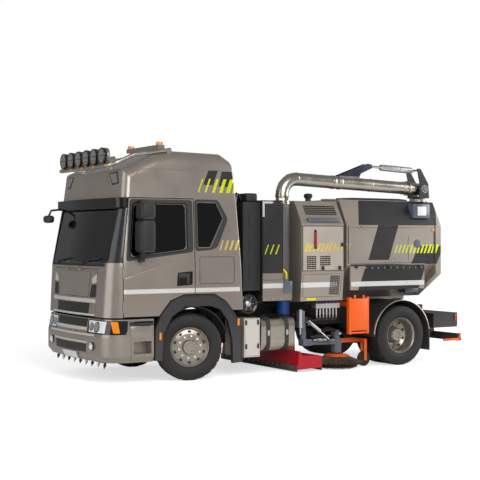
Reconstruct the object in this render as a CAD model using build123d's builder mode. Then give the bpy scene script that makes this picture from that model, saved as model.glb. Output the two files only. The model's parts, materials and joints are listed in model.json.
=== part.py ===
"""Street sweeper truck: two-axle cab-over chassis with a tipping suction sweeper body.

Millimetres. X points forward, Y to the left, Z up. The origin is on the ground below the middle of the truck.
Each piece is built where it sits and written to its own file.
"""
import math
import os

from build123d import *

os.makedirs("parts", exist_ok=True)

# Overall layout
FRONT_OVERHANG = 1530.0
WHEELBASE = 4000.0
REAR_OVERHANG = 1390.0
LENGTH = FRONT_OVERHANG + WHEELBASE + REAR_OVERHANG
FX = LENGTH / 2 - FRONT_OVERHANG
RX = FX - WHEELBASE
TAIL_X = -LENGTH / 2

# Wheels
TYRE_R = 507.0
TYRE_W = 312.0
BEAD_R = 286.0
RIM_LIP_R = 304.0
FRONT_Y = 1035.0
REAR_OUTER_Y = 1094.0
REAR_INNER_Y = 749.0
KINGPIN_Y = 930.0
STEER_REST = 16.0
AXLE_Z = TYRE_R
FIT = 0.3

# Frame
RAIL_IN = 375.0
RAIL_OUT = 455.0
RAIL_BOTTOM = 690.0
RAIL_TOP = 960.0
RAIL_WALL = 12.0
SUB_TOP = 1080.0

# Cab
CAB_WALL = 65.0
CAB_BOW = 90.0
BOW_R = 5000.0
CAB_BOTTOM = 990.0
BELT_Z = 1740.0
EAVE_Z = 2720.0
ROOF_SPLIT = 2752.0
PANEL_GAP = 12.0
DOOR_FRONT = FX + 1190.0
DOOR_REAR = FX + 10.0
DOOR_TOP = ROOF_SPLIT - PANEL_GAP
CAB_BACK_SPLIT = FX - 700.0
PIVOT_X = FX + 1375.0
PIVOT_Z = 600.0
# Height, front at the middle, half width, back, front corner radius
CAB_SECTIONS = (
    (CAB_BOTTOM, FX + 1500.0, 1215.0, FX - 860.0, 300.0),
    (BELT_Z, FX + 1455.0, 1215.0, FX - 825.0, 260.0),
    (EAVE_Z, FX + 1246.0, 1158.0, FX - 767.0, 110.0),
    (3520.0, FX + 1160.0, 1088.0, FX - 688.0, 110.0),
)
# Station along the cab, height of the roof there
ROOF_STATIONS = (
    (FX + 1600.0, 2966.0),
    (FX + 600.0, 3425.0),
    (FX + 250.0, 3475.0),
    (FX - 560.0, 3460.0),
    (FX - 900.0, 3250.0),
)
ROOF_EDGE = 190.0

# Bumper and steps, which carry the cab outline down to the road
BUMPER_WALL = 45.0
BUMPER_TOP = 965.0
BUMPER_BACK = FX + 1080.0
STEP_BACK = FX + 700.0
# Height, front at the middle, half width, front corner radius
BUMPER_SECTIONS = (
    (330.0, FX + 1470.0, 1185.0, 300.0),
    (420.0, FX + 1530.0, 1222.0, 300.0),
    (700.0, FX + 1530.0, 1222.0, 300.0),
    (BUMPER_TOP, FX + 1480.0, 1215.0, 300.0),
)

# Sweeper body
HOPPER_FRONT = FX - 2850.0
HOPPER_REAR = FX - 4770.0
HOPPER_WALL = 50.0
HOPPER_FLOOR = 1140.0
HOPPER_TOP = 2800.0
HOPPER_HALF = 1220.0
COWL_FRONT = FX - 1950.0
COWL_REAR = FX - 2790.0
TIP_X = FX - 4680.0
TIP_Z = 1100.0
TIP_PIN = 20.0

# Boom
BOOM_Y = 950.0
BOOM_X = FX - 4620.0
BOOM_PIVOT_Z = 3010.0
PIPE_R = 106.0
HOSE_X = FX - 1750.0
HOSE_TOP = 2765.0
HOSE_BOTTOM = 1492.0
HOSE_R = 122.0
HOSE_PIN_Z = HOSE_TOP + 20
HOSE_PIN = 10.0

# Sweeping gear
BRUSH_POST_X = FX - 2140.0
BRUSH_POST_Y = 980.0
BRUSH_PIVOT_Z = 450.0
BRUSH_X = FX - 2840.0
BRUSH_Y = 950.0
BRUSH_R = 420.0
GUIDE_X = FX - 3370.0
GUIDE_Y = 1000.0
GUIDE_R = 125.0


def slab(x, y, z, mode=Mode.ADD):
    """Box between three pairs of limits."""
    with Locations(((x[0] + x[1]) / 2, (y[0] + y[1]) / 2, (z[0] + z[1]) / 2)):
        Box(x[1] - x[0], y[1] - y[0], z[1] - z[0], mode=mode)


def bar(start, end, radius, mode=Mode.ADD):
    """Round bar between two points."""
    start = Vector(start)
    run = Vector(end) - start
    with BuildSketch(Plane(origin=start, z_dir=run)) as section:
        Circle(radius)
    extrude(section.sketch, amount=run.length, mode=mode)


def side_plate(points, y, mode=Mode.ADD, radius=0):
    """Outline seen from the side, given as X and Z, between two Y limits."""
    with BuildSketch(Plane.XZ.offset(-max(y))) as section:
        with BuildLine():
            FilletPolyline(*points, radius=radius, close=True)
        make_face()
    extrude(section.sketch, amount=max(y) - min(y), mode=mode)


def front_plate(points, x, mode=Mode.ADD, radius=0):
    """Outline seen from the front, given as Y and Z, between two X limits."""
    with BuildSketch(Plane.YZ.offset(min(x))) as section:
        with BuildLine():
            FilletPolyline(*points, radius=radius, close=True)
        make_face()
    extrude(section.sketch, amount=max(x) - min(x), mode=mode)


def save(part, name):
    """Label the piece and write it to its file."""
    part.label = name
    export_step(part, f"parts/{name}.step")


def plan_outline(z, front, half, back, corner):
    """Cab outline seen from above: bowed front, rounded front corners, square back."""
    front = front + BOW_R * (math.hypot(1, CAB_BOW / half) - 1)
    with BuildSketch(Plane.XY.offset(z)) as outline:
        with BuildLine():
            FilletPolyline(
                (back, -half),
                (front - CAB_BOW, -half),
                (front, 0),
                (front - CAB_BOW, half),
                (back, half),
                radius=[30, corner, BOW_R, corner, 30],
                close=True,
            )
        make_face()
    return outline.sketch


def half_width(z):
    """Half width of the cab between its two upper sections."""
    low, high = CAB_SECTIONS[2], CAB_SECTIONS[3]
    return low[2] + (high[2] - low[2]) * (z - low[0]) / (high[0] - low[0])


def roof_space(inset):
    """Everything below the roof surface, with its rounded long edges."""
    with BuildPart() as space:
        for x, top in ROOF_STATIONS:
            top = top - inset
            eave = top - ROOF_EDGE
            side = half_width(eave) - inset
            with BuildSketch(Plane.YZ.offset(x)):
                with BuildLine():
                    arc_right = ThreePointArc((-side, eave), (-side + 62, top - 62), (-side + 215, top))
                    Line(arc_right @ 1, (side - 215, top))
                    ThreePointArc((side - 215, top), (side - 62, top - 62), (side, eave))
                    Polyline((side, eave), (side + 300, eave - 500), (side + 300, 600))
                    Polyline((side + 300, 600), (-side - 300, 600))
                    Polyline((-side - 300, 600), (-side - 300, eave - 500), (-side, eave))
                make_face()
        loft(ruled=True)
    return space.part


def cab_block(inset):
    """Solid cab, drawn in by an amount on every side but the bottom."""
    sections = []
    for z, front, half, back, corner in CAB_SECTIONS:
        low = 5.0 if inset and z == CAB_BOTTOM else 0.0
        sections.append(plan_outline(z - low, front - inset, half - inset, back + inset, max(corner - inset, 40)))
    with BuildPart() as block:
        loft(sections, ruled=True)
        add(roof_space(inset), mode=Mode.INTERSECT)
    return block.part


cab_outer = cab_block(0)
cab_inner = cab_block(CAB_WALL)

# Wheel arch outline around the front axle: outer edge and inner edge of the dark trim, as X and Z
ARCH_OUTER = (
    (690, 340), (680, 800), (590, 1010), (420, 1215), (190, 1300),
    (-330, 1300), (-540, 1180), (-690, 1000), (-840, 760), (-830, 240),
)
ARCH_INNER = (
    (-660, 230), (-650, 580), (-575, 880), (-430, 1065), (-260, 1125),
    (180, 1125), (400, 985), (545, 740), (570, 330),
)


def arch_points(points, grow=0.0):
    """Arch outline moved to the axle and grown outward from its middle."""
    moved = []
    for x, z in points:
        reach = math.hypot(x, z - AXLE_Z)
        moved.append((FX + x * (1 + grow / reach), AXLE_Z + (z - AXLE_Z) * (1 + grow / reach)))
    return moved


def arch_opening(grow, mode=Mode.SUBTRACT):
    """Opening for the wheel arch, through both sides."""
    outline = arch_points(ARCH_OUTER, grow)
    outline = [(outline[0][0], 100.0)] + outline[1:-1] + [(outline[-1][0], 100.0)]
    side_plate(outline, (-1500, 1500), mode)


def door_outline(gap):
    """Door outline as X and Z, grown by a gap."""
    return (
        (DOOR_FRONT + gap, CAB_BOTTOM + 10 - 2 * gap),
        (DOOR_FRONT + gap, 1850),
        (DOOR_FRONT - 110 + gap, DOOR_TOP + gap),
        (DOOR_REAR - gap, DOOR_TOP + gap),
        (DOOR_REAR - gap, CAB_BOTTOM + 10 - 2 * gap),
    )


DOOR_HINGE = (DOOR_FRONT + 6.0, 1216.0)
DOOR_HINGES = (1150.0, 1640.0)
DOOR_PIN = 6.0
DOOR_BARREL = 12.0
DOOR_PANE = ((FX + 1080, 1880), (FX + 1000, 2655), (FX + 150, 2655), (FX + 150, 1985))
QUARTER_PANE = ((FX - 55, 2015), (FX - 55, 2690), (FX - 390, 2690), (FX - 510, 2450), (FX - 270, 2015))
SCREEN_PANE = ((-1060, 1790), (1060, 1790), (1035, 2595), (-1035, 2595))
LID_HALF = 790.0
LID_TOP = 1690.0
LID_THICK = 40.0
LID_HINGE = (FX + 1462.0, LID_TOP + 2)
LID_HINGE_Y = (-240.0, 240.0)
LID_PIN = 8.0
GLASS_INSET = 18.0
GLASS_THICK = 8.0


screen_face = cab_block(GLASS_INSET)
screen_back = cab_block(GLASS_INSET + GLASS_THICK)


def side_leaf(side, x):
    """Leaf of glass in the leaning cab side, between two stations."""
    low, high = CAB_SECTIONS[1], CAB_SECTIONS[2]
    points = []
    for z, depth in ((1800, GLASS_INSET), (2720, GLASS_INSET), (2720, GLASS_INSET + GLASS_THICK),
                     (1800, GLASS_INSET + GLASS_THICK)):
        skin = low[2] + (high[2] - low[2]) * (z - low[0]) / (high[0] - low[0])
        points.append((side * (skin - depth), z))
    front_plate(points, x)


lid_back = cab_block(LID_THICK)
lid_pocket = cab_block(LID_THICK + 6)


# Cab front wall with its pillars
with BuildPart() as cab_front:
    add(cab_outer)
    add(cab_inner, mode=Mode.SUBTRACT)
    keep = (
        (DOOR_FRONT + PANEL_GAP, 900),
        (DOOR_FRONT + PANEL_GAP, 1850),
        (DOOR_FRONT - 110 + PANEL_GAP, ROOF_SPLIT),
        (FX + 1700, ROOF_SPLIT),
        (FX + 1700, 900),
    )
    side_plate(keep, (-1400, 1400), Mode.INTERSECT)
    front_plate(SCREEN_PANE, (FX + 1150, FX + 1700), Mode.SUBTRACT, radius=70)
    with BuildPart(mode=Mode.SUBTRACT):
        slab((FX + 1200, FX + 1700), (-LID_HALF - 8, LID_HALF + 8), (CAB_BOTTOM - 10, LID_TOP + 10))
        add(lid_pocket, mode=Mode.SUBTRACT)
    for y in LID_HINGE_Y:
        bar((LID_HINGE[0], y - 48, LID_HINGE[1]), (LID_HINGE[0], y + 48, LID_HINGE[1]), 22, Mode.SUBTRACT)
        bar((LID_HINGE[0], y - 62, LID_HINGE[1]), (LID_HINGE[0], y + 62, LID_HINGE[1]), LID_PIN)
        for end in (y - 62, y + 48):
            slab((LID_HINGE[0] - 45, LID_HINGE[0] + 8), (end, end + 14), (LID_HINGE[1] + 4, LID_HINGE[1] + 22))
    for side in (1, -1):
        x, y = DOOR_HINGE[0], side * DOOR_HINGE[1]
        for z in DOOR_HINGES:
            bar((x, y, z - 62), (x, y, z + 62), DOOR_BARREL + 5, Mode.SUBTRACT)
            bar((x, y, z - 86), (x, y, z + 86), DOOR_PIN)
            bar((x, y, z - 86), (x, y, z - 61.5), DOOR_BARREL)
            bar((x, y, z + 61.5), (x, y, z + 86), DOOR_BARREL)
save(cab_front.part, "cab_front")

# Service lid in the front wall, with its grille openings
with BuildPart() as front_lid:
    slab((FX + 1200, FX + 1700), (-LID_HALF, LID_HALF), (CAB_BOTTOM + 8, LID_TOP))
    add(cab_outer, mode=Mode.INTERSECT)
    add(lid_back, mode=Mode.SUBTRACT)
    for low, high in ((1050, 1100), (1120, 1170)):
        slab((FX + 1200, FX + 1700), (-580, 580), (low, high), Mode.SUBTRACT)
    for y in LID_HINGE_Y:
        bar((LID_HINGE[0], y - 70, LID_HINGE[1]), (LID_HINGE[0], y + 70, LID_HINGE[1]), LID_PIN + 6, Mode.SUBTRACT)
        bar((LID_HINGE[0], y - 40, LID_HINGE[1]), (LID_HINGE[0], y + 40, LID_HINGE[1]), 16)
        bar((LID_HINGE[0], y - 41, LID_HINGE[1]), (LID_HINGE[0], y + 41, LID_HINGE[1]), LID_PIN + FIT, Mode.SUBTRACT)
save(front_lid.part, "front_lid")

# Rear quarters of the cab
with BuildPart() as cab_sides:
    slab((CAB_BACK_SPLIT, DOOR_REAR - PANEL_GAP), (-1400, -900), (1050, ROOF_SPLIT))
    add(cab_outer, mode=Mode.INTERSECT)
    add(cab_inner, mode=Mode.SUBTRACT)
    side_plate(QUARTER_PANE, (-1400, -900), Mode.SUBTRACT, radius=30)
    arch_opening(PANEL_GAP)
    mirror(about=Plane.XZ)
save(cab_sides.part, "cab_sides")

with BuildPart() as cab_back:
    add(cab_outer)
    add(cab_inner, mode=Mode.SUBTRACT)
    slab((FX - 1000, CAB_BACK_SPLIT), (-1400, 1400), (1050, ROOF_SPLIT), Mode.INTERSECT)
    arch_opening(PANEL_GAP)
save(cab_back.part, "cab_back")

with BuildPart() as cab_roof:
    add(cab_outer)
    add(cab_inner, mode=Mode.SUBTRACT)
    slab((FX - 1200, FX + 1700), (-1400, 1400), (ROOF_SPLIT, 3700), Mode.INTERSECT)
save(cab_roof.part, "cab_roof")

# Floor with the engine tunnel, and the arms that reach down to the tilt pivots
FLOOR_Z = 1140.0
FLOOR_THICK = 50.0
TUNNEL_HALF = 450.0
TUNNEL_TOP = 1480.0
ARM_Y = (RAIL_OUT + 12, RAIL_OUT + 92)
with BuildPart() as cab_floor:
    hat = (
        (-1300, FLOOR_Z), (-TUNNEL_HALF + FLOOR_THICK, FLOOR_Z),
        (-TUNNEL_HALF + FLOOR_THICK, TUNNEL_TOP - FLOOR_THICK), (TUNNEL_HALF - FLOOR_THICK, TUNNEL_TOP - FLOOR_THICK),
        (TUNNEL_HALF - FLOOR_THICK, FLOOR_Z), (1300, FLOOR_Z), (1300, FLOOR_Z + FLOOR_THICK),
        (TUNNEL_HALF, FLOOR_Z + FLOOR_THICK), (TUNNEL_HALF, TUNNEL_TOP), (-TUNNEL_HALF, TUNNEL_TOP),
        (-TUNNEL_HALF, FLOOR_Z + FLOOR_THICK), (-1300, FLOOR_Z + FLOOR_THICK),
    )
    front_plate(hat, (FX - 900, FX + 1500))
    add(cab_inner, mode=Mode.INTERSECT)
    for side in (1, -1):
        y = (min(side * 1143, side * 1300), max(side * 1143, side * 1300))
        slab((DOOR_REAR - 5, DOOR_FRONT + 20), y, (FLOOR_Z - 60, FLOOR_Z + 60), Mode.SUBTRACT)
    reach = FLOOR_Z - PIVOT_Z
    lean = reach * math.tan(math.radians(52))
    for side in (1, -1):
        y = (side * ARM_Y[0], side * ARM_Y[1])
        side_plate(
            (
                (PIVOT_X + 34, PIVOT_Z + 34), (PIVOT_X - lean + 50, FLOOR_Z + 5),
                (PIVOT_X - lean - 90, FLOOR_Z + 5), (PIVOT_X - 34, PIVOT_Z - 34),
            ),
            y,
        )
        bar((PIVOT_X, y[0], PIVOT_Z), (PIVOT_X, y[1], PIVOT_Z), 48)
        bar((PIVOT_X, y[0] - side, PIVOT_Z), (PIVOT_X, y[1] + side, PIVOT_Z), 25 + FIT, Mode.SUBTRACT)
save(cab_floor.part, "cab_floor")

# Screen and quarter panes, just inside the skin
with BuildPart() as cab_glass:
    front_plate(SCREEN_PANE, (FX + 1150, FX + 1700), radius=70)
    add(screen_face, mode=Mode.INTERSECT)
    add(screen_back, mode=Mode.SUBTRACT)
    for side in (1, -1):
        with BuildPart():
            side_leaf(side, (FX - 600, FX))
            side_plate(QUARTER_PANE, (-1400, 1400), Mode.INTERSECT, radius=30)
save(cab_glass.part, "cab_glass")

# Seats, dash and steering wheel
with BuildPart() as cab_interior:
    for side in (1, -1):
        y = (side * 480, side * 960)
        slab((FX + 20, FX + 520), (min(y), max(y)), (FLOOR_Z + FLOOR_THICK, 1400))
        slab((FX - 40, FX + 560), (min(y), max(y)), (1400, 1560))
        side_plate(((FX + 40, 1560), (FX - 120, 2260), (FX - 230, 2260), (FX - 100, 1500), (FX + 40, 1500)), y)
        side_plate(((FX - 120, 2270), (FX - 150, 2460), (FX - 230, 2460), (FX - 225, 2240), (FX - 125, 2240)),
                   (side * 600, side * 840))
save(cab_interior.part, "seats")

with BuildPart() as dash:
    side_plate(((FX + 1130, 1480), (FX + 950, 1500), (FX + 930, 1700), (FX + 1010, 1790), (FX + 1500, 1790),
                (FX + 1500, 1480)), (-1300, 1300))
    add(cab_inner, mode=Mode.INTERSECT)
    with BuildPart(mode=Mode.SUBTRACT):
        slab((DOOR_REAR, DOOR_FRONT + 40), (1080, 1400), (1400, 1900))
        slab((DOOR_REAR, DOOR_FRONT + 40), (-1400, -1080), (1400, 1900))
    wheel_mid = Vector(FX + 800, 700, 1830)
    column = Vector(0.55, 0, -0.83)
    bar(wheel_mid, wheel_mid + column * 260, 35)
    with BuildSketch(Plane(origin=wheel_mid, x_dir=(0, 1, 0), z_dir=column)):
        Circle(230)
        Circle(198, mode=Mode.SUBTRACT)
        Rectangle(400, 45)
        Rectangle(45, 400)
    extrude(amount=28)
save(dash.part, "dashboard")

# Sun visor across the top of the screen, carried by a thin shelf
with BuildPart() as sun_visor:
    grow = 95.0
    with BuildSketch(Plane.XY.offset(2600)):
        for inset, mode in ((0, Mode.ADD), (12, Mode.SUBTRACT)):
            with BuildLine():
                front = FX + 1255 + grow - inset
                half = 1165 + 30 - inset
                FilletPolyline((FX, -half), (front - CAB_BOW, -half), (front, 0), (front - CAB_BOW, half), (FX, half),
                               radius=[0, 150, BOW_R, 150, 0], close=True)
            make_face(mode=mode)
    extrude(amount=145)
    slab((FX + 1110, FX + 1500), (-1400, 1400), (2000, 3000), Mode.INTERSECT)
    with BuildPart():
        extrude(plan_outline(2735, FX + 1255 + grow - 6, 1165 + 24, FX, 150), amount=10)
        slab((FX + 1110, FX + 1500), (-1400, 1400), (2000, 3000), Mode.INTERSECT)
    add(cab_outer, mode=Mode.SUBTRACT)
save(sun_visor.part, "sun_visor")

# Tube over the roof front with round spot lamps, and the beacon bar behind it
LAMP_COUNT = 6
LAMP_PITCH = 290.0
LAMP_R = 120.0
LAMP_X = FX + 1290.0
LAMP_Z = 3375.0
BAR_Z = 3225.0
with BuildPart() as light_bar:
    with BuildLine() as bar_path:
        FilletPolyline(
            (FX + 300, -985, 3490), (FX + 900, -985, 3400), (LAMP_X, -985, BAR_Z), (LAMP_X, 985, BAR_Z),
            (FX + 900, 985, 3400), (FX + 300, 985, 3490),
            radius=[160, 140, 140, 160],
        )
    with BuildSketch(Plane(origin=bar_path.line @ 0, z_dir=bar_path.line % 0)):
        Circle(30)
    sweep(path=bar_path.line)
    for i in range(LAMP_COUNT):
        y = (i - (LAMP_COUNT - 1) / 2) * LAMP_PITCH
        bar((LAMP_X - 55, y, LAMP_Z), (LAMP_X + 35, y, LAMP_Z), LAMP_R)
        slab((LAMP_X - 20, LAMP_X + 20), (y - 25, y + 25), (BAR_Z, LAMP_Z - 80))
    for y in (-500, 500):
        slab((FX + 1060, LAMP_X), (y - 20, y + 20), (BAR_Z - 22, BAR_Z + 18))
    for side in (1, -1):
        slab((FX + 300, FX + 380), (side * 985 - 30, side * 985 + 30), (3300, 3490))
    slab((FX + 180, FX + 290), (-560, 560), (3535, 3600))
    for y in (-400, 400):
        slab((FX + 215, FX + 255), (y - 20, y + 20), (3400, 3540))
    for y in (-500, 500):
        bar((FX + 235, y, 3595), (FX + 235, y, 3650), 50)
    add(cab_outer, mode=Mode.SUBTRACT)
save(light_bar.part, "light_bar")

# Doors with their panes and mirrors, left and right
MIRROR_OUT = 1500.0
with BuildPart() as door_right:
    side_plate(door_outline(0), (-1400, -900))
    add(cab_outer, mode=Mode.INTERSECT)
    add(cab_inner, mode=Mode.SUBTRACT)
    side_plate(DOOR_PANE, (-1400, -900), Mode.SUBTRACT, radius=60)
    arch_opening(PANEL_GAP)
    x, y = DOOR_HINGE[0], -DOOR_HINGE[1]
    for z in DOOR_HINGES:
        bar((x, y, z - 92), (x, y, z - 56), DOOR_BARREL + 5, Mode.SUBTRACT)
        bar((x, y, z + 56), (x, y, z + 92), DOOR_BARREL + 5, Mode.SUBTRACT)
        bar((x, y, z - 56), (x, y, z + 56), DOOR_BARREL)
        bar((x, y, z - 57), (x, y, z + 57), DOOR_PIN + FIT, Mode.SUBTRACT)
save(door_right.part, "door_right")

with BuildPart() as door_left:
    mirror(door_right.part, about=Plane.XZ)
save(door_left.part, "door_left")

for side, name in ((1, "left"), (-1, "right")):
    near = (side * 900, side * 1400)

    with BuildPart() as pane:
        side_leaf(side, (FX + 100, FX + 1150))
        side_plate(DOOR_PANE, near, Mode.INTERSECT, radius=60)
    save(pane.part, f"door_glass_{name}")

    with BuildPart() as mirror:
        y = (side * 1255, side * MIRROR_OUT)
        slab((FX + 830, FX + 1010), (min(y), max(y)), (2425, 2660))
        slab((FX + 820, FX + 1020), (min(y), max(y)), (1950, 2405))
        fillet(mirror.edges().filter_by(Axis.Z), 45)
        y = (side * 1100, side * 1300)
        slab((FX + 900, FX + 950), (min(y), max(y)), (2680, 2710))
        slab((FX + 900, FX + 950), (side * 1275 - 20, side * 1275 + 20), (2400, 2710))
        slab((FX + 890, FX + 960), (min(y), max(y)), (1800, 1850))
        slab((FX + 890, FX + 960), (side * 1280 - 20, side * 1280 + 20), (1800, 1960))
        add(cab_outer, mode=Mode.SUBTRACT)
    save(mirror.part, f"mirror_{name}")

# Frame: rails, cross members, sub-frame, cab pivots, brush hanger, nozzle guides and tip lugs
GUIDE_ROD_X = FX - 2280.0
GUIDE_ROD_Y = 510.0
with BuildPart() as frame_rails:
    for side in (1, -1):
        channel = (
            (side * RAIL_IN, RAIL_BOTTOM), (side * RAIL_OUT, RAIL_BOTTOM), (side * RAIL_OUT, RAIL_TOP),
            (side * RAIL_IN, RAIL_TOP), (side * RAIL_IN, RAIL_TOP - RAIL_WALL),
            (side * (RAIL_OUT - RAIL_WALL), RAIL_TOP - RAIL_WALL),
            (side * (RAIL_OUT - RAIL_WALL), RAIL_BOTTOM + RAIL_WALL), (side * RAIL_IN, RAIL_BOTTOM + RAIL_WALL),
        )
        front_plate(channel, (TAIL_X + 240, FX + 1130))
        y = (min(side * RAIL_IN, side * RAIL_OUT), max(side * RAIL_IN, side * RAIL_OUT))
        slab((FX - 4600, FX - 950), y, (RAIL_TOP, SUB_TOP))
        slab((FX + 1000, PIVOT_X + 45), y, (PIVOT_Z - 45, RAIL_BOTTOM + 10))
        bar((PIVOT_X, side * (RAIL_OUT - 20), PIVOT_Z), (PIVOT_X, side * (ARM_Y[1] + 12), PIVOT_Z), 25)
        lug = (side * 350 - 25, side * 350 + 25)
        slab((TIP_X - 33, FX - 4550), lug, (RAIL_TOP - 80, TIP_Z))
        slab((TIP_X, FX - 4550), lug, (RAIL_TOP - 80, TIP_Z + 32))
        bar((TIP_X, lug[0], TIP_Z), (TIP_X, lug[1], TIP_Z), 33)
        slab((TIP_X - 33, FX - 4550), (min(side * 325, side * 445), max(side * 325, side * 445)),
             (RAIL_TOP - RAIL_WALL, RAIL_TOP))
        bar((TIP_X, side * 320, TIP_Z), (TIP_X, side * 380, TIP_Z), TIP_PIN + FIT, Mode.SUBTRACT)
        slab((GUIDE_ROD_X - 40, GUIDE_ROD_X + 40), (min(side * 440, side * 550), max(side * 440, side * 550)), (700, 790))
        bar((GUIDE_ROD_X, side * GUIDE_ROD_Y, 690), (GUIDE_ROD_X, side * GUIDE_ROD_Y, 800), 20 + FIT, Mode.SUBTRACT)
    for x in (FX - 1050, FX - 2300, FX - 3300, FX - 4500, FX - 5100):
        slab((x - 40, x + 40), (-RAIL_OUT + 5, RAIL_OUT - 5), (800, 930))
    slab((FX + 1060, FX + 1120), (-RAIL_OUT + 5, RAIL_OUT - 5), (RAIL_BOTTOM, 735))
    slab((BRUSH_POST_X - 45, BRUSH_POST_X + 45), (RAIL_OUT - 5, BRUSH_POST_Y + 50), (800, 870))
    bar((BRUSH_POST_X, BRUSH_POST_Y, 810), (BRUSH_POST_X, BRUSH_POST_Y, 420), 22)
save(frame_rails.part, "frame_rails")

# Front axle beam with springs
with BuildPart() as front_axle:
    slab((FX - 45, FX + 45), (-865, 865), (AXLE_Z - 47, AXLE_Z + 45))
    for side in (1, -1):
        bar((FX, side * KINGPIN_Y, AXLE_Z - 50), (FX, side * KINGPIN_Y, AXLE_Z + 50), 45)
        y = (min(side * 860, side * KINGPIN_Y), max(side * 860, side * KINGPIN_Y))
        slab((FX - 40, FX + 40), y, (AXLE_Z - 45, AXLE_Z + 45))
        bar((FX, side * KINGPIN_Y, AXLE_Z - 60), (FX, side * KINGPIN_Y, AXLE_Z + 60), 28 + FIT, Mode.SUBTRACT)
        y = (min(side * 380, side * 450), max(side * 380, side * 450))
        slab((FX - 90, FX + 90), y, (AXLE_Z + 40, 610))
        slab((FX - 760, FX + 760), y, (600, 640))
        slab((FX + 690, FX + 760), y, (635, RAIL_BOTTOM))
        slab((FX - 760, FX - 690), y, (635, RAIL_BOTTOM))
save(front_axle.part, "front_axle")

# Rear axle with differential and springs
REAR_SPINDLE = 60.0
with BuildPart() as rear_axle:
    bar((RX, -640, AXLE_Z), (RX, 640, AXLE_Z), 85)
    bar((RX, -1040, AXLE_Z), (RX, 1040, AXLE_Z), REAR_SPINDLE)
    bar((RX, -130, AXLE_Z), (RX, 130, AXLE_Z), 230)
    bar((RX, 0, AXLE_Z), (RX + 330, 0, AXLE_Z + 25), 95)
    for side in (1, -1):
        y = (min(side * 380, side * 450), max(side * 380, side * 450))
        slab((RX - 90, RX + 90), y, (AXLE_Z + 40, 610))
        slab((RX - 620, RX + 620), y, (600, 645))
        slab((RX + 550, RX + 620), y, (640, RAIL_BOTTOM))
        slab((RX - 620, RX - 550), y, (640, RAIL_BOTTOM))
save(rear_axle.part, "rear_axle")

# Engine, gearbox and drive shaft as one plain mass
with BuildPart() as driveline:
    slab((FX - 200, FX + 980), (-280, 280), (620, 1330))
    slab((FX - 950, FX - 190), (-200, 200), (600, 950))
    bar((FX - 940, 0, 700), (RX + 331, 0, AXLE_Z + 26), 45)
    for side in (1, -1):
        y = (min(side * 270, side * 430), max(side * 270, side * 430))
        slab((FX + 300, FX + 420), y, (RAIL_BOTTOM + RAIL_WALL, 800))
save(driveline.part, "driveline")


def bumper_block(inset):
    """Solid below the cab outline, from the road side up to the cab gap."""
    sections = []
    for z, front, half, corner in BUMPER_SECTIONS:
        low = 0.0
        if inset and z == BUMPER_SECTIONS[0][0]:
            low = -5.0
        if inset and z == BUMPER_TOP:
            low = 5.0
        sections.append(plan_outline(z + low, front - inset, half - inset, FX + 100, corner - inset))
    with BuildPart() as block:
        loft(sections, ruled=True)
    return block.part


bumper_outer = bumper_block(0)
bumper_inner = bumper_block(BUMPER_WALL)
HEADLAMP_Z = (745.0, 950.0)
HEADLAMP_Y = 570.0
HEADLAMP_BACK = FX + 1150.0


def headlamp_space(side, gap):
    """Space of one headlamp, wrapping the bumper corner."""
    y = (side * (HEADLAMP_Y - gap), side * 1500)
    slab((HEADLAMP_BACK - gap, FX + 1700), (min(y), max(y)), (HEADLAMP_Z[0] - gap, HEADLAMP_Z[1] + gap))


with BuildPart() as bumper:
    add(bumper_outer)
    add(bumper_inner, mode=Mode.SUBTRACT)
    slab((BUMPER_BACK, FX + 1700), (-1500, 1500), (0, 1100), Mode.INTERSECT)
    with BuildPart(mode=Mode.SUBTRACT):
        headlamp_space(1, 0)
    with BuildPart(mode=Mode.SUBTRACT):
        headlamp_space(-1, 0)
    for low, high, half in ((840, 885, 540), (900, 945, 540), (470, 515, 560), (530, 575, 560)):
        slab((FX + 1300, FX + 1700), (-half, half), (low, high), Mode.SUBTRACT)
    for side in (1, -1):
        y = (min(side * RAIL_IN, side * RAIL_OUT), max(side * RAIL_IN, side * RAIL_OUT))
        slab((FX + 1130, FX + 1495), y, (RAIL_BOTTOM + 15, RAIL_BOTTOM + 85))
        bar((FX + 1300, side * 760, 560), (FX + 1600, side * 760, 560), 62, Mode.SUBTRACT)
    bar((FX + 1250, 330, 430), (FX + 1600, 330, 430), 22, Mode.SUBTRACT)
save(bumper.part, "bumper")

# Headlamps, fog lamps and tail lamps
LAMP_BOX_REAR = TAIL_X + 90.0
with BuildPart() as road_lamps:
    for side in (1, -1):
        with BuildPart():
            add(bumper_outer)
            add(bumper_block(BUMPER_WALL + 40), mode=Mode.SUBTRACT)
            with BuildPart(mode=Mode.INTERSECT):
                headlamp_space(side, 0)
        bar((FX + 1440, side * 760, 560), (FX + 1508, side * 760, 560), 62)
        y = (min(side * 800, side * 1160), max(side * 800, side * 1160))
        slab((LAMP_BOX_REAR - 40, LAMP_BOX_REAR), y, (650, 800))
save(road_lamps.part, "road_lamps")

# Entry steps below the doors
with BuildPart() as cab_steps:
    add(bumper_outer)
    add(bumper_block(190), mode=Mode.SUBTRACT)
    slab((STEP_BACK + 5, BUMPER_BACK - 5), (-1500, 1500), (0, 1100), Mode.INTERSECT)
    for side in (1, -1):
        y = (min(side * 1060, side * 1500), max(side * 1060, side * 1500))
        for low, high in ((455, 640), (700, 925)):
            slab((STEP_BACK + 45, BUMPER_BACK - 45), y, (low, high), Mode.SUBTRACT)
        y = (min(side * RAIL_OUT, side * 1060), max(side * RAIL_OUT, side * 1060))
        slab((FX + 800, FX + 860), y, (RAIL_BOTTOM + 10, RAIL_BOTTOM + 60))
    arch_opening(PANEL_GAP)
save(cab_steps.part, "cab_steps")

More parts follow.
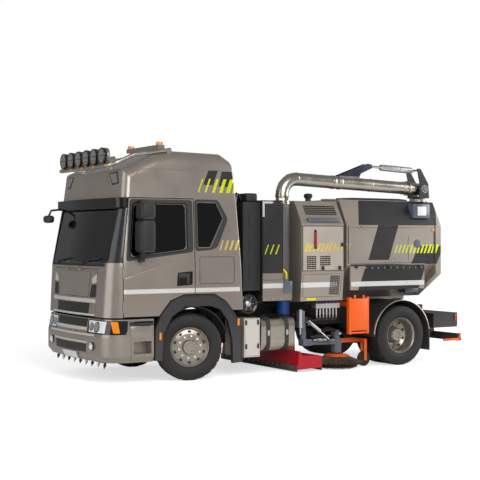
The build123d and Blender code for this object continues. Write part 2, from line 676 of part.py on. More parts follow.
# Front wheel arches and rear guards with flaps
GUARD_IN = 588.0
GUARD_OUT = 600.0
with BuildPart() as mudguards:
    for side in (1, -1):
        y = (side * 1162, side * 1226)
        side_plate(arch_points(ARCH_OUTER) + arch_points(ARCH_INNER), y)
        y = (min(side * 800, side * 1170), max(side * 800, side * 1170))
        with BuildSketch(Plane.XZ.offset(-max(y))):
            with Locations((FX, AXLE_Z)):
                Circle(GUARD_OUT + 12)
                Circle(GUARD_IN + 12, mode=Mode.SUBTRACT)
            with Locations((FX, AXLE_Z - 260)):
                Rectangle(2000, 900, mode=Mode.SUBTRACT)
        extrude(amount=max(y) - min(y))
        y = (min(side * RAIL_OUT, side * 830), max(side * RAIL_OUT, side * 830))
        slab((FX - 520, FX - 480), y, (820, 870))
        y = (min(side * 585, side * 1258), max(side * 585, side * 1258))
        with BuildSketch(Plane.XZ.offset(-max(y))):
            with Locations((RX, AXLE_Z)):
                Circle(GUARD_OUT)
                Circle(GUARD_IN, mode=Mode.SUBTRACT)
            with Locations((RX, AXLE_Z - 650)):
                Rectangle(2000, 1300, mode=Mode.SUBTRACT)
        extrude(amount=max(y) - min(y))
        slab((RX - 612, RX - 596), y, (230, AXLE_Z + 60))
        y = (min(side * RAIL_OUT, side * 600), max(side * RAIL_OUT, side * 600))
        slab((RX - 620, RX - 580), y, (RAIL_BOTTOM - 10, RAIL_BOTTOM + 60))
        slab((RX - 620, RX - 580), (min(side * 575, side * 600), max(side * 575, side * 600)), (540, RAIL_BOTTOM + 60))
save(mudguards.part, "mudguards")


def spin_plane(centre, outward):
    """Plane through a wheel centre with its first axis along the spindle."""
    return Plane(origin=centre, x_dir=outward, z_dir=outward.cross(Vector(0, 0, 1)))


def ring(centre, outward, points):
    """Ring turned about a spindle from an outline of offsets and radii."""
    with BuildSketch(spin_plane(centre, outward)) as section:
        with BuildLine():
            Polyline(*points, close=True)
        make_face()
    revolve(section.sketch, axis=Axis(centre, outward))


TYRE_OUTLINE = (
    (-TYRE_W / 2 + 42, BEAD_R), (TYRE_W / 2 - 42, BEAD_R), (TYRE_W / 2, 400),
    (TYRE_W / 2 - 22, TYRE_R - 12), (TYRE_W / 2 - 50, TYRE_R), (-TYRE_W / 2 + 50, TYRE_R),
    (-TYRE_W / 2 + 22, TYRE_R - 12), (-TYRE_W / 2, 400),
)
RIM_R = BEAD_R - FIT
FRONT_BORE = 46.0
# Front disc stands outward, rear discs are set inward. Offsets along the spindle and radii
FRONT_RIM = (
    (-117, RIM_R), (-125, RIM_LIP_R), (-131, RIM_LIP_R), (-131, 268), (50, 268), (70, 205), (70, 140), (8, 140),
    (8, FRONT_BORE), (62, FRONT_BORE), (62, 0), (160, 0), (160, 85), (112, 95), (112, 205), (94, 262),
    (131, 274), (131, RIM_LIP_R), (125, RIM_LIP_R), (117, RIM_R),
)
REAR_RIM = (
    (-117, RIM_R), (-125, RIM_LIP_R), (-131, RIM_LIP_R), (-131, 268), (131, 268), (131, RIM_LIP_R), (125, RIM_LIP_R),
    (117, RIM_R),
)
kingpin_dir = Vector(math.sin(math.radians(STEER_REST)), math.cos(math.radians(STEER_REST)), 0)

for side, name in ((1, "left"), (-1, "right")):
    outward = kingpin_dir * side
    pin = Vector(FX, side * KINGPIN_Y, AXLE_Z)
    centre = pin + outward * (FRONT_Y - KINGPIN_Y)
    with BuildPart() as tyre:
        ring(centre, outward, TYRE_OUTLINE)
    save(tyre.part, f"tyre_front_{name}")
    with BuildPart() as rim:
        ring(centre, outward, FRONT_RIM)
    save(rim.part, f"rim_front_{name}")

    with BuildPart() as knuckle:
        bar(pin - Vector(0, 0, 96), pin + Vector(0, 0, 96), 28)
        for low, high in ((-96, -60), (60, 96)):
            bar(pin + Vector(0, 0, low), pin + Vector(0, 0, high), 52)
        with BuildSketch(spin_plane(pin + outward * 30, outward)):
            with Locations((37, 0)):
                Rectangle(30, 192)
            for z in (-78, 78):
                with Locations((0, z)):
                    Rectangle(70, 36)
        extrude(amount=48, both=True)
        ring(pin, outward, ((53, 0), (53, 190), (92, 190), (92, FRONT_BORE - FIT), (160, FRONT_BORE - FIT), (160, 0)))
    save(knuckle.part, f"knuckle_{name}")

    out = Vector(0, side, 0)
    with BuildPart() as twin:
        for y in (REAR_INNER_Y, REAR_OUTER_Y):
            ring(Vector(RX, side * y, AXLE_Z), out, TYRE_OUTLINE)
    save(twin.part, f"tyres_rear_{name}")
    hub_y = (REAR_INNER_Y + REAR_OUTER_Y) / 2
    with BuildPart() as twin_rim:
        for y in (REAR_INNER_Y, REAR_OUTER_Y):
            ring(Vector(RX, side * y, AXLE_Z), out, REAR_RIM)
        bore = REAR_SPINDLE + FIT
        ring(
            Vector(RX, side * hub_y, AXLE_Z), out,
            (
                (-250, bore), (130, bore), (130, 0), (215, 0), (215, 100), (60, 140), (60, 180), (95, 270), (75, 270),
                (30, 200), (-30, 200), (-75, 270), (-95, 270), (-60, 180), (-60, 140), (-250, 140),
            ),
        )
    save(twin_rim.part, f"rims_rear_{name}")

# Fuel tank, battery box and silencer on brackets at the rails
with BuildPart() as fuel_tank:
    front_plate(((600, 365), (1185, 365), (1185, 925), (600, 925)), (FX - 1825, FX - 1210), radius=170)
    for x in (FX - 1700, FX - 1330):
        slab((x - 35, x + 35), (RAIL_OUT, 610), (RAIL_BOTTOM + 20, RAIL_BOTTOM + 140))
save(fuel_tank.part, "fuel_tank")

with BuildPart() as battery_box:
    slab((FX - 1178, FX - 890), (600, 1180), (300, 905))
    slab((FX - 1080, FX - 1000), (RAIL_OUT, 610), (RAIL_BOTTOM + 20, RAIL_BOTTOM + 140))
save(battery_box.part, "battery_box")

with BuildPart() as silencer:
    front_plate(((-1180, 340), (-600, 340), (-600, 925), (-1180, 925)), (FX - 1700, FX - 900), radius=90)
    for x in (FX - 1550, FX - 1050):
        slab((x - 35, x + 35), (-610, -RAIL_OUT), (RAIL_BOTTOM + 20, RAIL_BOTTOM + 140))
    bar((FX - 890, -520, 640), (FX - 600, -520, 640), 55)
    slab((FX - 960, FX - 890), (-620, -470), (590, 690))
save(silencer.part, "silencer")

# Dark air stack behind the cab, open below
with BuildPart() as air_stack:
    slab((FX - 1205, FX - 885), (-1150, 1150), (1330, 2720))
    slab((FX - 1175, FX - 915), (-1120, 1120), (1300, 2690), Mode.SUBTRACT)
    for side in (1, -1):
        y = (min(side * RAIL_IN, side * RAIL_OUT), max(side * RAIL_IN, side * RAIL_OUT))
        slab((FX - 1205, FX - 1120), y, (SUB_TOP, 1400))
    slab((FX - 1205, FX - 1175), (-460, 460), (1330, 1420))
save(air_stack.part, "air_stack")

# Hose reel in the gap under the stack
with BuildPart() as hose_reel:
    reel = (FX - 1042, 0, 1125)
    for y, width, radius in ((885, 18, 150), (903, 130, 100), (1033, 18, 150)):
        bar((reel[0], y, reel[2]), (reel[0], y + width, reel[2]), radius)
    bar((reel[0], 800, reel[2]), (reel[0], 890, reel[2]), 40)
    slab((reel[0] - 30, reel[0] + 30), (RAIL_OUT, 820), (990, 1050))
    slab((reel[0] - 30, reel[0] + 30), (790, 830), (990, 1150))
save(hose_reel.part, "hose_reel")

# Water tank with its lower shelf below the wander hose
TANK_WALL = 30.0
with BuildPart() as water_tank:
    slab((FX - 1600, FX - 1215), (-1205, 1205), (1165, 2750))
    slab((FX - 1770, FX - 1215), (-1205, 1205), (1165, 1475))
    slab((FX - 1600 + TANK_WALL, FX - 1215 - TANK_WALL), (-1175, 1175), (1195, 2720), Mode.SUBTRACT)
    slab((FX - 1770 + TANK_WALL, FX - 1590), (-1175, 1175), (1195, 1445), Mode.SUBTRACT)
    for side in (1, -1):
        y = (min(side * RAIL_IN, side * RAIL_OUT), max(side * RAIL_IN, side * RAIL_OUT))
        slab((FX - 1700, FX - 1260), y, (SUB_TOP, 1170))
    bar((FX - 1400, 500, 2715), (FX - 1400, 500, 2785), 70)
    bar((FX - 1400, 500, 2600), (FX - 1400, 500, 2800), 55, Mode.SUBTRACT)
save(water_tank.part, "water_tank")

# Blue suction duct between nozzle and body
DUCT_X = FX - 1960.0
DUCT_Y = 665.0
with BuildPart() as suction_duct:
    bar((DUCT_X, DUCT_Y, 440), (DUCT_X, DUCT_Y, 1125), 110)
    bar((DUCT_X, DUCT_Y, 430), (DUCT_X, DUCT_Y, 1140), 100, Mode.SUBTRACT)
    slab((DUCT_X - 30, DUCT_X + 30), (RAIL_OUT, DUCT_Y - 103), (880, 930))
save(suction_duct.part, "suction_duct")

# Valve block with its row of line fittings
VALVE_LINES = 7
with BuildPart() as valve_block:
    slab((FX - 2790, FX - 2310), (990, 1110), (1010, 1085))
    slab((FX - 2600, FX - 2540), (RAIL_OUT, 995), (1020, 1070))
    for i in range(VALVE_LINES):
        x = FX - 2350 - i * 66
        bar((x, 1070, 1015), (x, 1070, 900), 15)
save(valve_block.part, "valve_block")

# Folding ladder in its frame
with BuildPart() as ladder:
    for x in (FX - 3315, FX - 2945):
        slab((x, x + 40), (1150, 1220), (570, 1180))
    for z in (575, 690, 820, 950, 1075):
        slab((FX - 3300, FX - 2920), (1165, 1205), (z, z + 30))
    slab((FX - 3140, FX - 3080), (RAIL_OUT, 1170), (1010, 1080))
save(ladder.part, "ladder")

# Rear beam, lamp boxes and underrun bar
with BuildPart() as rear_underrun:
    slab((LAMP_BOX_REAR, TAIL_X + 240), (-1200, 1200), (600, 850))
    for side in (1, -1):
        y = (min(side * 640, side * 1200), max(side * 640, side * 1200))
        slab((TAIL_X + 230, TAIL_X + 640), y, (600, 850))
        y = (side * 530 - 35, side * 530 + 35)
        slab((TAIL_X + 60, TAIL_X + 160), y, (370, 700))
    slab((TAIL_X, TAIL_X + 90), (-1200, 1200), (350, 475))
    bar((TAIL_X + 45, 0, 300), (TAIL_X + 45, 0, 520), 20, Mode.SUBTRACT)
save(rear_underrun.part, "rear_underrun")

# Hopper
HOPPER_OUTLINE = (
    (-640, HOPPER_FLOOR), (640, HOPPER_FLOOR), (1150, 1640), (HOPPER_HALF, 1705), (HOPPER_HALF, 2370),
    (1005, HOPPER_TOP), (-1005, HOPPER_TOP), (-HOPPER_HALF, 2370), (-HOPPER_HALF, 1705), (-1150, 1640),
)
BEAM_Z = (SUB_TOP + 6, HOPPER_FLOOR)


def hopper_block(inset, x):
    """Solid body section between two stations, drawn in by an amount."""
    with BuildPart() as block:
        with BuildSketch(Plane.YZ.offset(min(x))):
            with BuildLine():
                Polyline(*HOPPER_OUTLINE, close=True)
            make_face()
            if inset:
                offset(amount=-inset, kind=Kind.INTERSECTION, mode=Mode.REPLACE)
        extrude(amount=max(x) - min(x))
    return block.part


hopper_outer = hopper_block(0, (HOPPER_REAR, HOPPER_FRONT))
with BuildPart() as hopper_shell:
    add(hopper_outer)
    add(hopper_block(HOPPER_WALL, (HOPPER_REAR - 10, HOPPER_FRONT - HOPPER_WALL)), mode=Mode.SUBTRACT)
    for side in (1, -1):
        y = (min(side * 385, side * 445), max(side * 385, side * 445))
        slab((FX - 4590, COWL_FRONT - 20), y, BEAM_Z)
        slab((TIP_X - 30, FX - 4580), y, (BEAM_Z[0], HOPPER_FLOOR + 5))
        bar((TIP_X, side * 310, TIP_Z), (TIP_X, side * 445, TIP_Z), TIP_PIN)
        bar((TIP_X, side * 385, TIP_Z), (TIP_X, side * 445, TIP_Z), 38)
    bar((BOOM_X, BOOM_Y, HOPPER_TOP - 20), (BOOM_X, BOOM_Y, HOPPER_TOP + 35), 125)
    bar((BOOM_X, BOOM_Y, HOPPER_TOP + 30), (BOOM_X, BOOM_Y, HOPPER_TOP + 72), 60)
    TAIL_HINGE_X = HOPPER_REAR - 40
    TAIL_HINGE_Z = HOPPER_TOP + 35
    for y in (-700, 700):
        slab((TAIL_HINGE_X - 30, HOPPER_REAR + 10), (y - 20, y + 20), (TAIL_HINGE_Z - 24, TAIL_HINGE_Z + 30))
        slab((HOPPER_REAR, HOPPER_REAR + 120), (y - 20, y + 20), (HOPPER_TOP - 10, TAIL_HINGE_Z + 30))
        bar((TAIL_HINGE_X, y - 30, TAIL_HINGE_Z), (TAIL_HINGE_X, y + 30, TAIL_HINGE_Z), 15 + FIT, Mode.SUBTRACT)
    slab((HOPPER_REAR - 10, HOPPER_REAR), (-2000, 2000), (HOPPER_TOP - 12, HOPPER_TOP), Mode.SUBTRACT)
save(hopper_shell.part, "hopper_shell")

with BuildPart() as hopper_skirts:
    for side in (1, -1):
        y = (min(side * 1183, side * 1214), max(side * 1183, side * 1214))
        slab((FX - 4530, FX - 2930), y, (1295, 1699))
    add(hopper_outer, mode=Mode.SUBTRACT)
save(hopper_skirts.part, "hopper_skirts")

# Rear door hung at the top
REAR_DOOR = (HOPPER_REAR - 125, HOPPER_REAR - 6)
with BuildPart() as rear_door:
    outline = (
        (-640, HOPPER_FLOOR), (640, HOPPER_FLOOR), (1226, 1540), (1226, 2370), (1010, HOPPER_TOP - 15),
        (-1010, HOPPER_TOP - 15), (-1226, 2370), (-1226, 1540),
    )
    front_plate(outline, REAR_DOOR)
    dish = ((-560, 1215), (560, 1215), (1130, 1600), (1130, 2340), (960, 2700), (-960, 2700), (-1130, 2340), (-1130, 1600))
    front_plate(dish, (REAR_DOOR[0] + 45, REAR_DOOR[1] + 1), Mode.SUBTRACT)
    for y in (-700, 700):
        for side in (1, -1):
            mid = y + side * 48
            slab((TAIL_HINGE_X - 25, TAIL_HINGE_X + 25), (mid - 18, mid + 18), (HOPPER_TOP - 30, TAIL_HINGE_Z + 20))
        bar((TAIL_HINGE_X, y - 66, TAIL_HINGE_Z), (TAIL_HINGE_X, y + 66, TAIL_HINGE_Z), 15)
save(rear_door.part, "rear_door")

# Fan cowl in front of the hopper, open below
COWL_OUTLINE = (
    (-1180, HOPPER_FLOOR), (1180, HOPPER_FLOOR), (1220, 1600), (1220, 2390), (1000, 2760), (-1000, 2760),
    (-1220, 2390), (-1220, 1600),
)
COWL_WALL = 40.0
with BuildPart() as fan_cowl:
    front_plate(COWL_OUTLINE, (COWL_REAR, COWL_FRONT))
    with BuildSketch(Plane.YZ.offset(COWL_REAR + COWL_WALL)):
        with BuildLine():
            Polyline(*COWL_OUTLINE, close=True)
        make_face()
        offset(amount=-COWL_WALL, kind=Kind.INTERSECTION, mode=Mode.REPLACE)
    extrude(amount=COWL_FRONT - COWL_REAR - 2 * COWL_WALL, mode=Mode.SUBTRACT)
    slab((COWL_REAR + COWL_WALL, COWL_FRONT - COWL_WALL), (-1100, -460), (1100, 1200), Mode.SUBTRACT)
    slab((COWL_REAR + COWL_WALL, COWL_FRONT - COWL_WALL), (460, 1100), (1100, 1200), Mode.SUBTRACT)
save(fan_cowl.part, "fan_cowl")

# Boom post that slews on the hopper
POST_LOW = HOPPER_TOP + 42.0
CYL_REAR = (BOOM_X + 130.0, 3330.0)
CYL_FRONT = (FX - 3500.0, 3375.0)
with BuildPart() as boom_post:
    bar((BOOM_X, BOOM_Y, POST_LOW), (BOOM_X, BOOM_Y, POST_LOW + 36), 115)
    for y in (-150, 150):
        side_plate(
            (
                (BOOM_X - 110, POST_LOW + 10), (BOOM_X + 110, POST_LOW + 10), (BOOM_X + 90, 3080),
                (CYL_REAR[0] + 25, 3360), (CYL_REAR[0] - 45, 3360), (BOOM_X - 90, 3100),
            ),
            (BOOM_Y + y - 12, BOOM_Y + y + 12),
        )
    slab((BOOM_X - 110, BOOM_X + 110), (BOOM_Y - 160, BOOM_Y + 160), (POST_LOW + 10, POST_LOW + 36))
    bar((BOOM_X, BOOM_Y, POST_LOW - 1), (BOOM_X, BOOM_Y, POST_LOW + 40), 60 + FIT, Mode.SUBTRACT)
    bar((BOOM_X, BOOM_Y - 165, BOOM_PIVOT_Z), (BOOM_X, BOOM_Y + 165, BOOM_PIVOT_Z), 20 + FIT, Mode.SUBTRACT)
    bar((CYL_REAR[0], BOOM_Y - 160, CYL_REAR[1]), (CYL_REAR[0], BOOM_Y + 160, CYL_REAR[1]), 14)
save(boom_post.part, "boom_post")

# Boom pipe with its elbow, pivot pin and cylinder bracket
PIPE_FRONT_Z = 3125.0
PIPE_WALL = 6.0
with BuildPart() as boom_pipe:
    with BuildLine() as pipe_path:
        FilletPolyline((BOOM_X - 60, BOOM_Y, BOOM_PIVOT_Z - 3), (HOSE_X, BOOM_Y, PIPE_FRONT_Z), (HOSE_X, BOOM_Y, HOSE_TOP + 40),
                       radius=[270])
    with BuildSketch(Plane(origin=pipe_path.line @ 0, z_dir=pipe_path.line % 0)):
        Circle(PIPE_R)
        Circle(PIPE_R - PIPE_WALL, mode=Mode.SUBTRACT)
    sweep(path=pipe_path.line)
    for side in (1, -1):
        bar((BOOM_X, BOOM_Y + side * (PIPE_R - 4), BOOM_PIVOT_Z), (BOOM_X, BOOM_Y + side * 175, BOOM_PIVOT_Z), 20)
    for y in (-62, 62):
        side_plate(
            (
                (FX - 3250, 3120), (FX - 2850, 3140), (FX - 2860, 3200), (FX - 3450, 3415), (FX - 3540, 3400),
                (FX - 3540, 3340), (FX - 3300, 3240),
            ),
            (BOOM_Y + y - 8, BOOM_Y + y + 8),
        )
    bar((CYL_FRONT[0], BOOM_Y - 70, CYL_FRONT[1]), (CYL_FRONT[0], BOOM_Y + 70, CYL_FRONT[1]), 12)
    for side in (1, -1):
        y = (BOOM_Y + side * (HOSE_R + 8), BOOM_Y + side * (HOSE_R + 22))
        slab((HOSE_X - 25, HOSE_X + 25), (min(y), max(y)), (HOSE_PIN_Z - 25, HOSE_PIN_Z + 45))
        y = (BOOM_Y + side * (PIPE_R - 5), BOOM_Y + side * (HOSE_R + 22))
        slab((HOSE_X - 25, HOSE_X + 25), (min(y), max(y)), (HOSE_PIN_Z + 27, HOSE_PIN_Z + 45))
        bar((HOSE_X, BOOM_Y + side * (HOSE_R - 12), HOSE_PIN_Z), (HOSE_X, BOOM_Y + side * (HOSE_R + 10), HOSE_PIN_Z), HOSE_PIN)
save(boom_pipe.part, "boom_pipe")

# Boom cylinder
cyl_a = Vector(CYL_REAR[0], BOOM_Y, CYL_REAR[1])
cyl_b = Vector(CYL_FRONT[0], BOOM_Y, CYL_FRONT[1])
cyl_dir = (cyl_b - cyl_a).normalized()
with BuildPart() as boom_cylinder:
    bar((cyl_a.X, BOOM_Y - 30, cyl_a.Z), (cyl_a.X, BOOM_Y + 30, cyl_a.Z), 34)
    bar(cyl_a + cyl_dir * 20, cyl_a + cyl_dir * 720, 42)
    bar((cyl_a.X, BOOM_Y - 31, cyl_a.Z), (cyl_a.X, BOOM_Y + 31, cyl_a.Z), 14 + FIT, Mode.SUBTRACT)
    bar(cyl_a + cyl_dir * 60, cyl_a + cyl_dir * 730, 20 + FIT, Mode.SUBTRACT)
save(boom_cylinder.part, "boom_cylinder")

with BuildPart() as boom_rod:
    bar(cyl_b - cyl_dir * 560, cyl_b - cyl_dir * 20, 20)
    bar((cyl_b.X, BOOM_Y - 24, cyl_b.Z), (cyl_b.X, BOOM_Y + 24, cyl_b.Z), 34)
    bar((cyl_b.X, BOOM_Y - 25, cyl_b.Z), (cyl_b.X, BOOM_Y + 25, cyl_b.Z), 21, Mode.SUBTRACT)
save(boom_rod.part, "boom_rod")

# Wander hose with ribs, hanging from the elbow
HOSE_RIBS = 12
HOSE_CUFF = 120.0
with BuildPart() as wander_hose:
    low = HOSE_BOTTOM + HOSE_CUFF
    pitch = (HOSE_TOP - HOSE_CUFF - low) / HOSE_RIBS
    points = [(0, HOSE_BOTTOM), (HOSE_R + 14, HOSE_BOTTOM), (HOSE_R + 14, HOSE_BOTTOM + 30),
              (HOSE_R - 8, HOSE_BOTTOM + 30), (HOSE_R - 8, low)]
    for i in range(HOSE_RIBS):
        points.append((HOSE_R, low + (i + 0.35) * pitch))
        points.append((HOSE_R, low + (i + 0.65) * pitch))
        points.append((HOSE_R - 12, low + (i + 1) * pitch))
    points += [(HOSE_R - 8, HOSE_TOP - 35), (HOSE_R + 2, HOSE_TOP - 35), (HOSE_R + 2, HOSE_TOP), (0, HOSE_TOP)]
    with BuildSketch(Plane(origin=(HOSE_X, BOOM_Y, 0), x_dir=(1, 0, 0), z_dir=(0, -1, 0))):
        with BuildLine():
            Polyline(*points, close=True)
        make_face()
    revolve(axis=Axis((HOSE_X, BOOM_Y, 0), (0, 0, 1)))
    for side in (1, -1):
        y = (BOOM_Y + side * (HOSE_R - 10), BOOM_Y + side * (HOSE_R + 2))
        slab((HOSE_X - 22, HOSE_X + 22), (min(y), max(y)), (HOSE_TOP - 25, HOSE_PIN_Z))
        bar((HOSE_X, y[0], HOSE_PIN_Z), (HOSE_X, y[1], HOSE_PIN_Z), 22)
        bar((HOSE_X, min(y) - 1, HOSE_PIN_Z), (HOSE_X, max(y) + 1, HOSE_PIN_Z), HOSE_PIN + FIT, Mode.SUBTRACT)
save(wander_hose.part, "wander_hose")

# Brush post swinging on its hanger pin
with BuildPart() as brush_post:
    bar((BRUSH_POST_X, BRUSH_POST_Y, 400), (BRUSH_POST_X, BRUSH_POST_Y, 790), 48)
    bar((BRUSH_POST_X, BRUSH_POST_Y, 410), (BRUSH_POST_X, BRUSH_POST_Y, 800), 22 + FIT, Mode.SUBTRACT)
    for y in (-62, 62):
        slab((BRUSH_POST_X - 130, BRUSH_POST_X - 10), (BRUSH_POST_Y + y - 10, BRUSH_POST_Y + y + 10),
             (BRUSH_PIVOT_Z - 45, BRUSH_PIVOT_Z + 60))
    slab((BRUSH_POST_X - 40, BRUSH_POST_X + 40), (BRUSH_POST_Y - 72, BRUSH_POST_Y + 72),
         (BRUSH_PIVOT_Z - 45, BRUSH_PIVOT_Z + 60))
    bar((BRUSH_POST_X, BRUSH_POST_Y, 410), (BRUSH_POST_X, BRUSH_POST_Y, 800), 22 + FIT, Mode.SUBTRACT)
    pin_x = BRUSH_POST_X - 90
    bar((pin_x, BRUSH_POST_Y - 80, BRUSH_PIVOT_Z), (pin_x, BRUSH_POST_Y + 80, BRUSH_PIVOT_Z), 16)
save(brush_post.part, "brush_post")

# Brush arm with motor, spring strut and the bracket of the guide wheel
with BuildPart() as brush_arm:
    pin_x = BRUSH_POST_X - 90
    bar((pin_x, BRUSH_POST_Y - 45, BRUSH_PIVOT_Z), (pin_x, BRUSH_POST_Y + 45, BRUSH_PIVOT_Z), 40)
    side_plate(
        (
            (pin_x, BRUSH_PIVOT_Z + 38), (BRUSH_X + 60, 470), (BRUSH_X - 60, 470), (BRUSH_X - 60, 400),
            (BRUSH_X + 60, 400), (pin_x, BRUSH_PIVOT_Z - 38),
        ),
        (BRUSH_Y - 10, BRUSH_POST_Y + 35),
    )
    bar((BRUSH_X, BRUSH_Y, 262), (BRUSH_X, BRUSH_Y, 480), 85)
    bar((BRUSH_X, BRUSH_Y, 480), (BRUSH_X, BRUSH_Y, 620), 58)
    bar((BRUSH_X, BRUSH_Y, 238), (BRUSH_X, BRUSH_Y, 270), 30)
    slab((GUIDE_X - 20, BRUSH_X - 70), (BRUSH_Y - 95, BRUSH_Y - 65), (405, 465))
    slab((BRUSH_X - 110, BRUSH_X - 40), (BRUSH_Y - 95, BRUSH_Y + 10), (405, 465))
    slab((GUIDE_X - 25, GUIDE_X + 25), (BRUSH_Y - 95, GUIDE_Y + 60), (405, 465))
    for y in (GUIDE_Y - 52, GUIDE_Y + 40):
        slab((GUIDE_X - 25, GUIDE_X + 25), (y, y + 20), (GUIDE_R - 25, 465))
    bar((GUIDE_X, GUIDE_Y - 45, GUIDE_R + 6), (GUIDE_X, GUIDE_Y + 55, GUIDE_R + 6), 12)
    bar((pin_x, BRUSH_POST_Y - 46, BRUSH_PIVOT_Z), (pin_x, BRUSH_POST_Y + 46, BRUSH_PIVOT_Z), 16 + FIT, Mode.SUBTRACT)
save(brush_arm.part, "brush_arm")

# Side brush: disc with bundles of tines
TINE_BUNDLES = 26
with BuildPart() as side_brush:
    bar((BRUSH_X, BRUSH_Y, 205), (BRUSH_X, BRUSH_Y, 238), 210)
    bar((BRUSH_X, BRUSH_Y, 150), (BRUSH_X, BRUSH_Y, 210), 150)
    for i in range(TINE_BUNDLES):
        turn = 360.0 / TINE_BUNDLES * i
        with BuildSketch(Plane(origin=(BRUSH_X, BRUSH_Y, 0), x_dir=Vector(1, 0, 0).rotate(Axis.Z, turn),
                               z_dir=Vector(0, -1, 0).rotate(Axis.Z, turn))):
            with BuildLine():
                Polyline((120, 190), (190, 207), (BRUSH_R, 14), (BRUSH_R - 90, 8), close=True)
            make_face()
        extrude(amount=22, both=True)
save(side_brush.part, "side_brush")

with BuildPart() as guide_wheel:
    out = Vector(0, 1, 0)
    ring(Vector(GUIDE_X, GUIDE_Y, GUIDE_R + 6), out,
         ((-28, 12 + FIT), (28, 12 + FIT), (28, GUIDE_R - 12), (18, GUIDE_R), (-18, GUIDE_R), (-28, GUIDE_R - 12)))
save(guide_wheel.part, "guide_wheel")

# Suction nozzle: full-width hood, open below, hung on two guide rods
NOZZLE_FRONT = FX - 1880.0
NOZZLE_REAR = FX - 2360.0
with BuildPart() as suction_nozzle:
    hood = ((NOZZLE_FRONT, 45), (NOZZLE_FRONT - 40, 340), (NOZZLE_FRONT - 60, 340), (NOZZLE_FRONT - 90, 270),
            (NOZZLE_REAR, 250), (NOZZLE_REAR, 60), (NOZZLE_REAR + 30, 60), (NOZZLE_REAR + 30, 225),
            (NOZZLE_FRONT - 70, 240), (NOZZLE_FRONT - 25, 45))
    side_plate(hood, (-1180, 1200))
    for y in ((1170, 1200), (-1180, -1150)):
        side_plate(((NOZZLE_FRONT - 5, 45), (NOZZLE_FRONT - 40, 340), (NOZZLE_FRONT - 60, 340),
                    (NOZZLE_FRONT - 90, 265), (NOZZLE_REAR, 245), (NOZZLE_REAR, 60)), y)
    bar((DUCT_X - 60, DUCT_Y, 235), (DUCT_X - 60, DUCT_Y, 330), 105)
    bar((DUCT_X - 60, DUCT_Y, 100), (DUCT_X - 60, DUCT_Y, 340), 95, Mode.SUBTRACT)
    for side in (1, -1):
        bar((GUIDE_ROD_X, side * GUIDE_ROD_Y, 240), (GUIDE_ROD_X, side * GUIDE_ROD_Y, 900), 20)
save(suction_nozzle.part, "suction_nozzle")
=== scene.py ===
"""Looks of a street sweeper truck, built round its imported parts. Metres, X forward, Y left, Z up."""
import json
import math

import bmesh
import bpy
from bpy.props import FloatProperty, FloatVectorProperty, IntProperty, PointerProperty
from mathutils import Matrix, Vector


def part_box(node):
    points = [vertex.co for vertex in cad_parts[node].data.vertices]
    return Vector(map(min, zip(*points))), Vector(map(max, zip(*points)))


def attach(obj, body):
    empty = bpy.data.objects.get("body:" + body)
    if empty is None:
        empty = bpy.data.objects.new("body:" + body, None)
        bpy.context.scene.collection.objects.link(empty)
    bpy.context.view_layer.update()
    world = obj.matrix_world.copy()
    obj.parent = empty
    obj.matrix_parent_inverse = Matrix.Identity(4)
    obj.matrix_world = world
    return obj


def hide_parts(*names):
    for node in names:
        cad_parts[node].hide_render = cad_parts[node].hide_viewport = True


bl_info = {
    "name": "Street sweeper looks",
    "version": (1, 0, 0),
    "blender": (4, 5, 0),
    "location": "View3D > Sidebar > Sweeper",
    "description": "Adds finishes and fine pieces to the packed sweeper truck",
    "category": "Object",
}

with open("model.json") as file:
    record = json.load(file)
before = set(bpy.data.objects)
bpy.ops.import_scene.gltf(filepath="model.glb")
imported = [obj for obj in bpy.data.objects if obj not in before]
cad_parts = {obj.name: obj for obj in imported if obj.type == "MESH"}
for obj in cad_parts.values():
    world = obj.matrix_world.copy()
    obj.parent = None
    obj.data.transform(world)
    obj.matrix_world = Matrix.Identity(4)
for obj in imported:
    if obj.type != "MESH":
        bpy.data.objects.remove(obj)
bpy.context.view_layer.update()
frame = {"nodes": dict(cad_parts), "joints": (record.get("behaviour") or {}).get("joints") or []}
NODES = frame["nodes"]


def middle(node):
    """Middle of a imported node."""
    low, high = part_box(node)
    return (low + high) / 2


AX = middle("front_axle").x
RX = middle("rear_axle").x
HUB_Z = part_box("tyre_front_left")[1].z / 2
SIDES = ((1, "left"), (-1, "right"))
UP = (0, 0, 1)
FRONT_SKIN = ("bumper",)
BUMPER_SKIN = ("bumper", "road_lamps", "cab_steps")
BLACK, GREY, GLOSS = "grained_black_plastic", "grained_grey_plastic", "gloss_black_plastic"
ZINC, SLATE, ORANGE, STEEL = "zinc_plate", "slate_enamel", "orange_enamel", "brushed_stainless"


def linear(code):
    """Linear colour of an sRGB hex value."""
    parts = [int(code[i:i + 2], 16) / 255 for i in (1, 3, 5)]
    return tuple(c / 12.92 if c <= 0.04045 else ((c + 0.055) / 1.055) ** 2.4 for c in parts) + (1.0,)


def shade(colour, factor):
    """Colour made darker or lighter."""
    return tuple(min(c * factor, 1.0) for c in colour[:3]) + (1.0,)


def colour_field(label, note, code):
    """Colour that the user can change."""
    return FloatVectorProperty(name=label, description=note, subtype="COLOR", size=4, default=linear(code))


def length_field(label, note, value):
    """Length that the user can change."""
    return FloatProperty(name=label, description=note, default=value, unit="LENGTH")


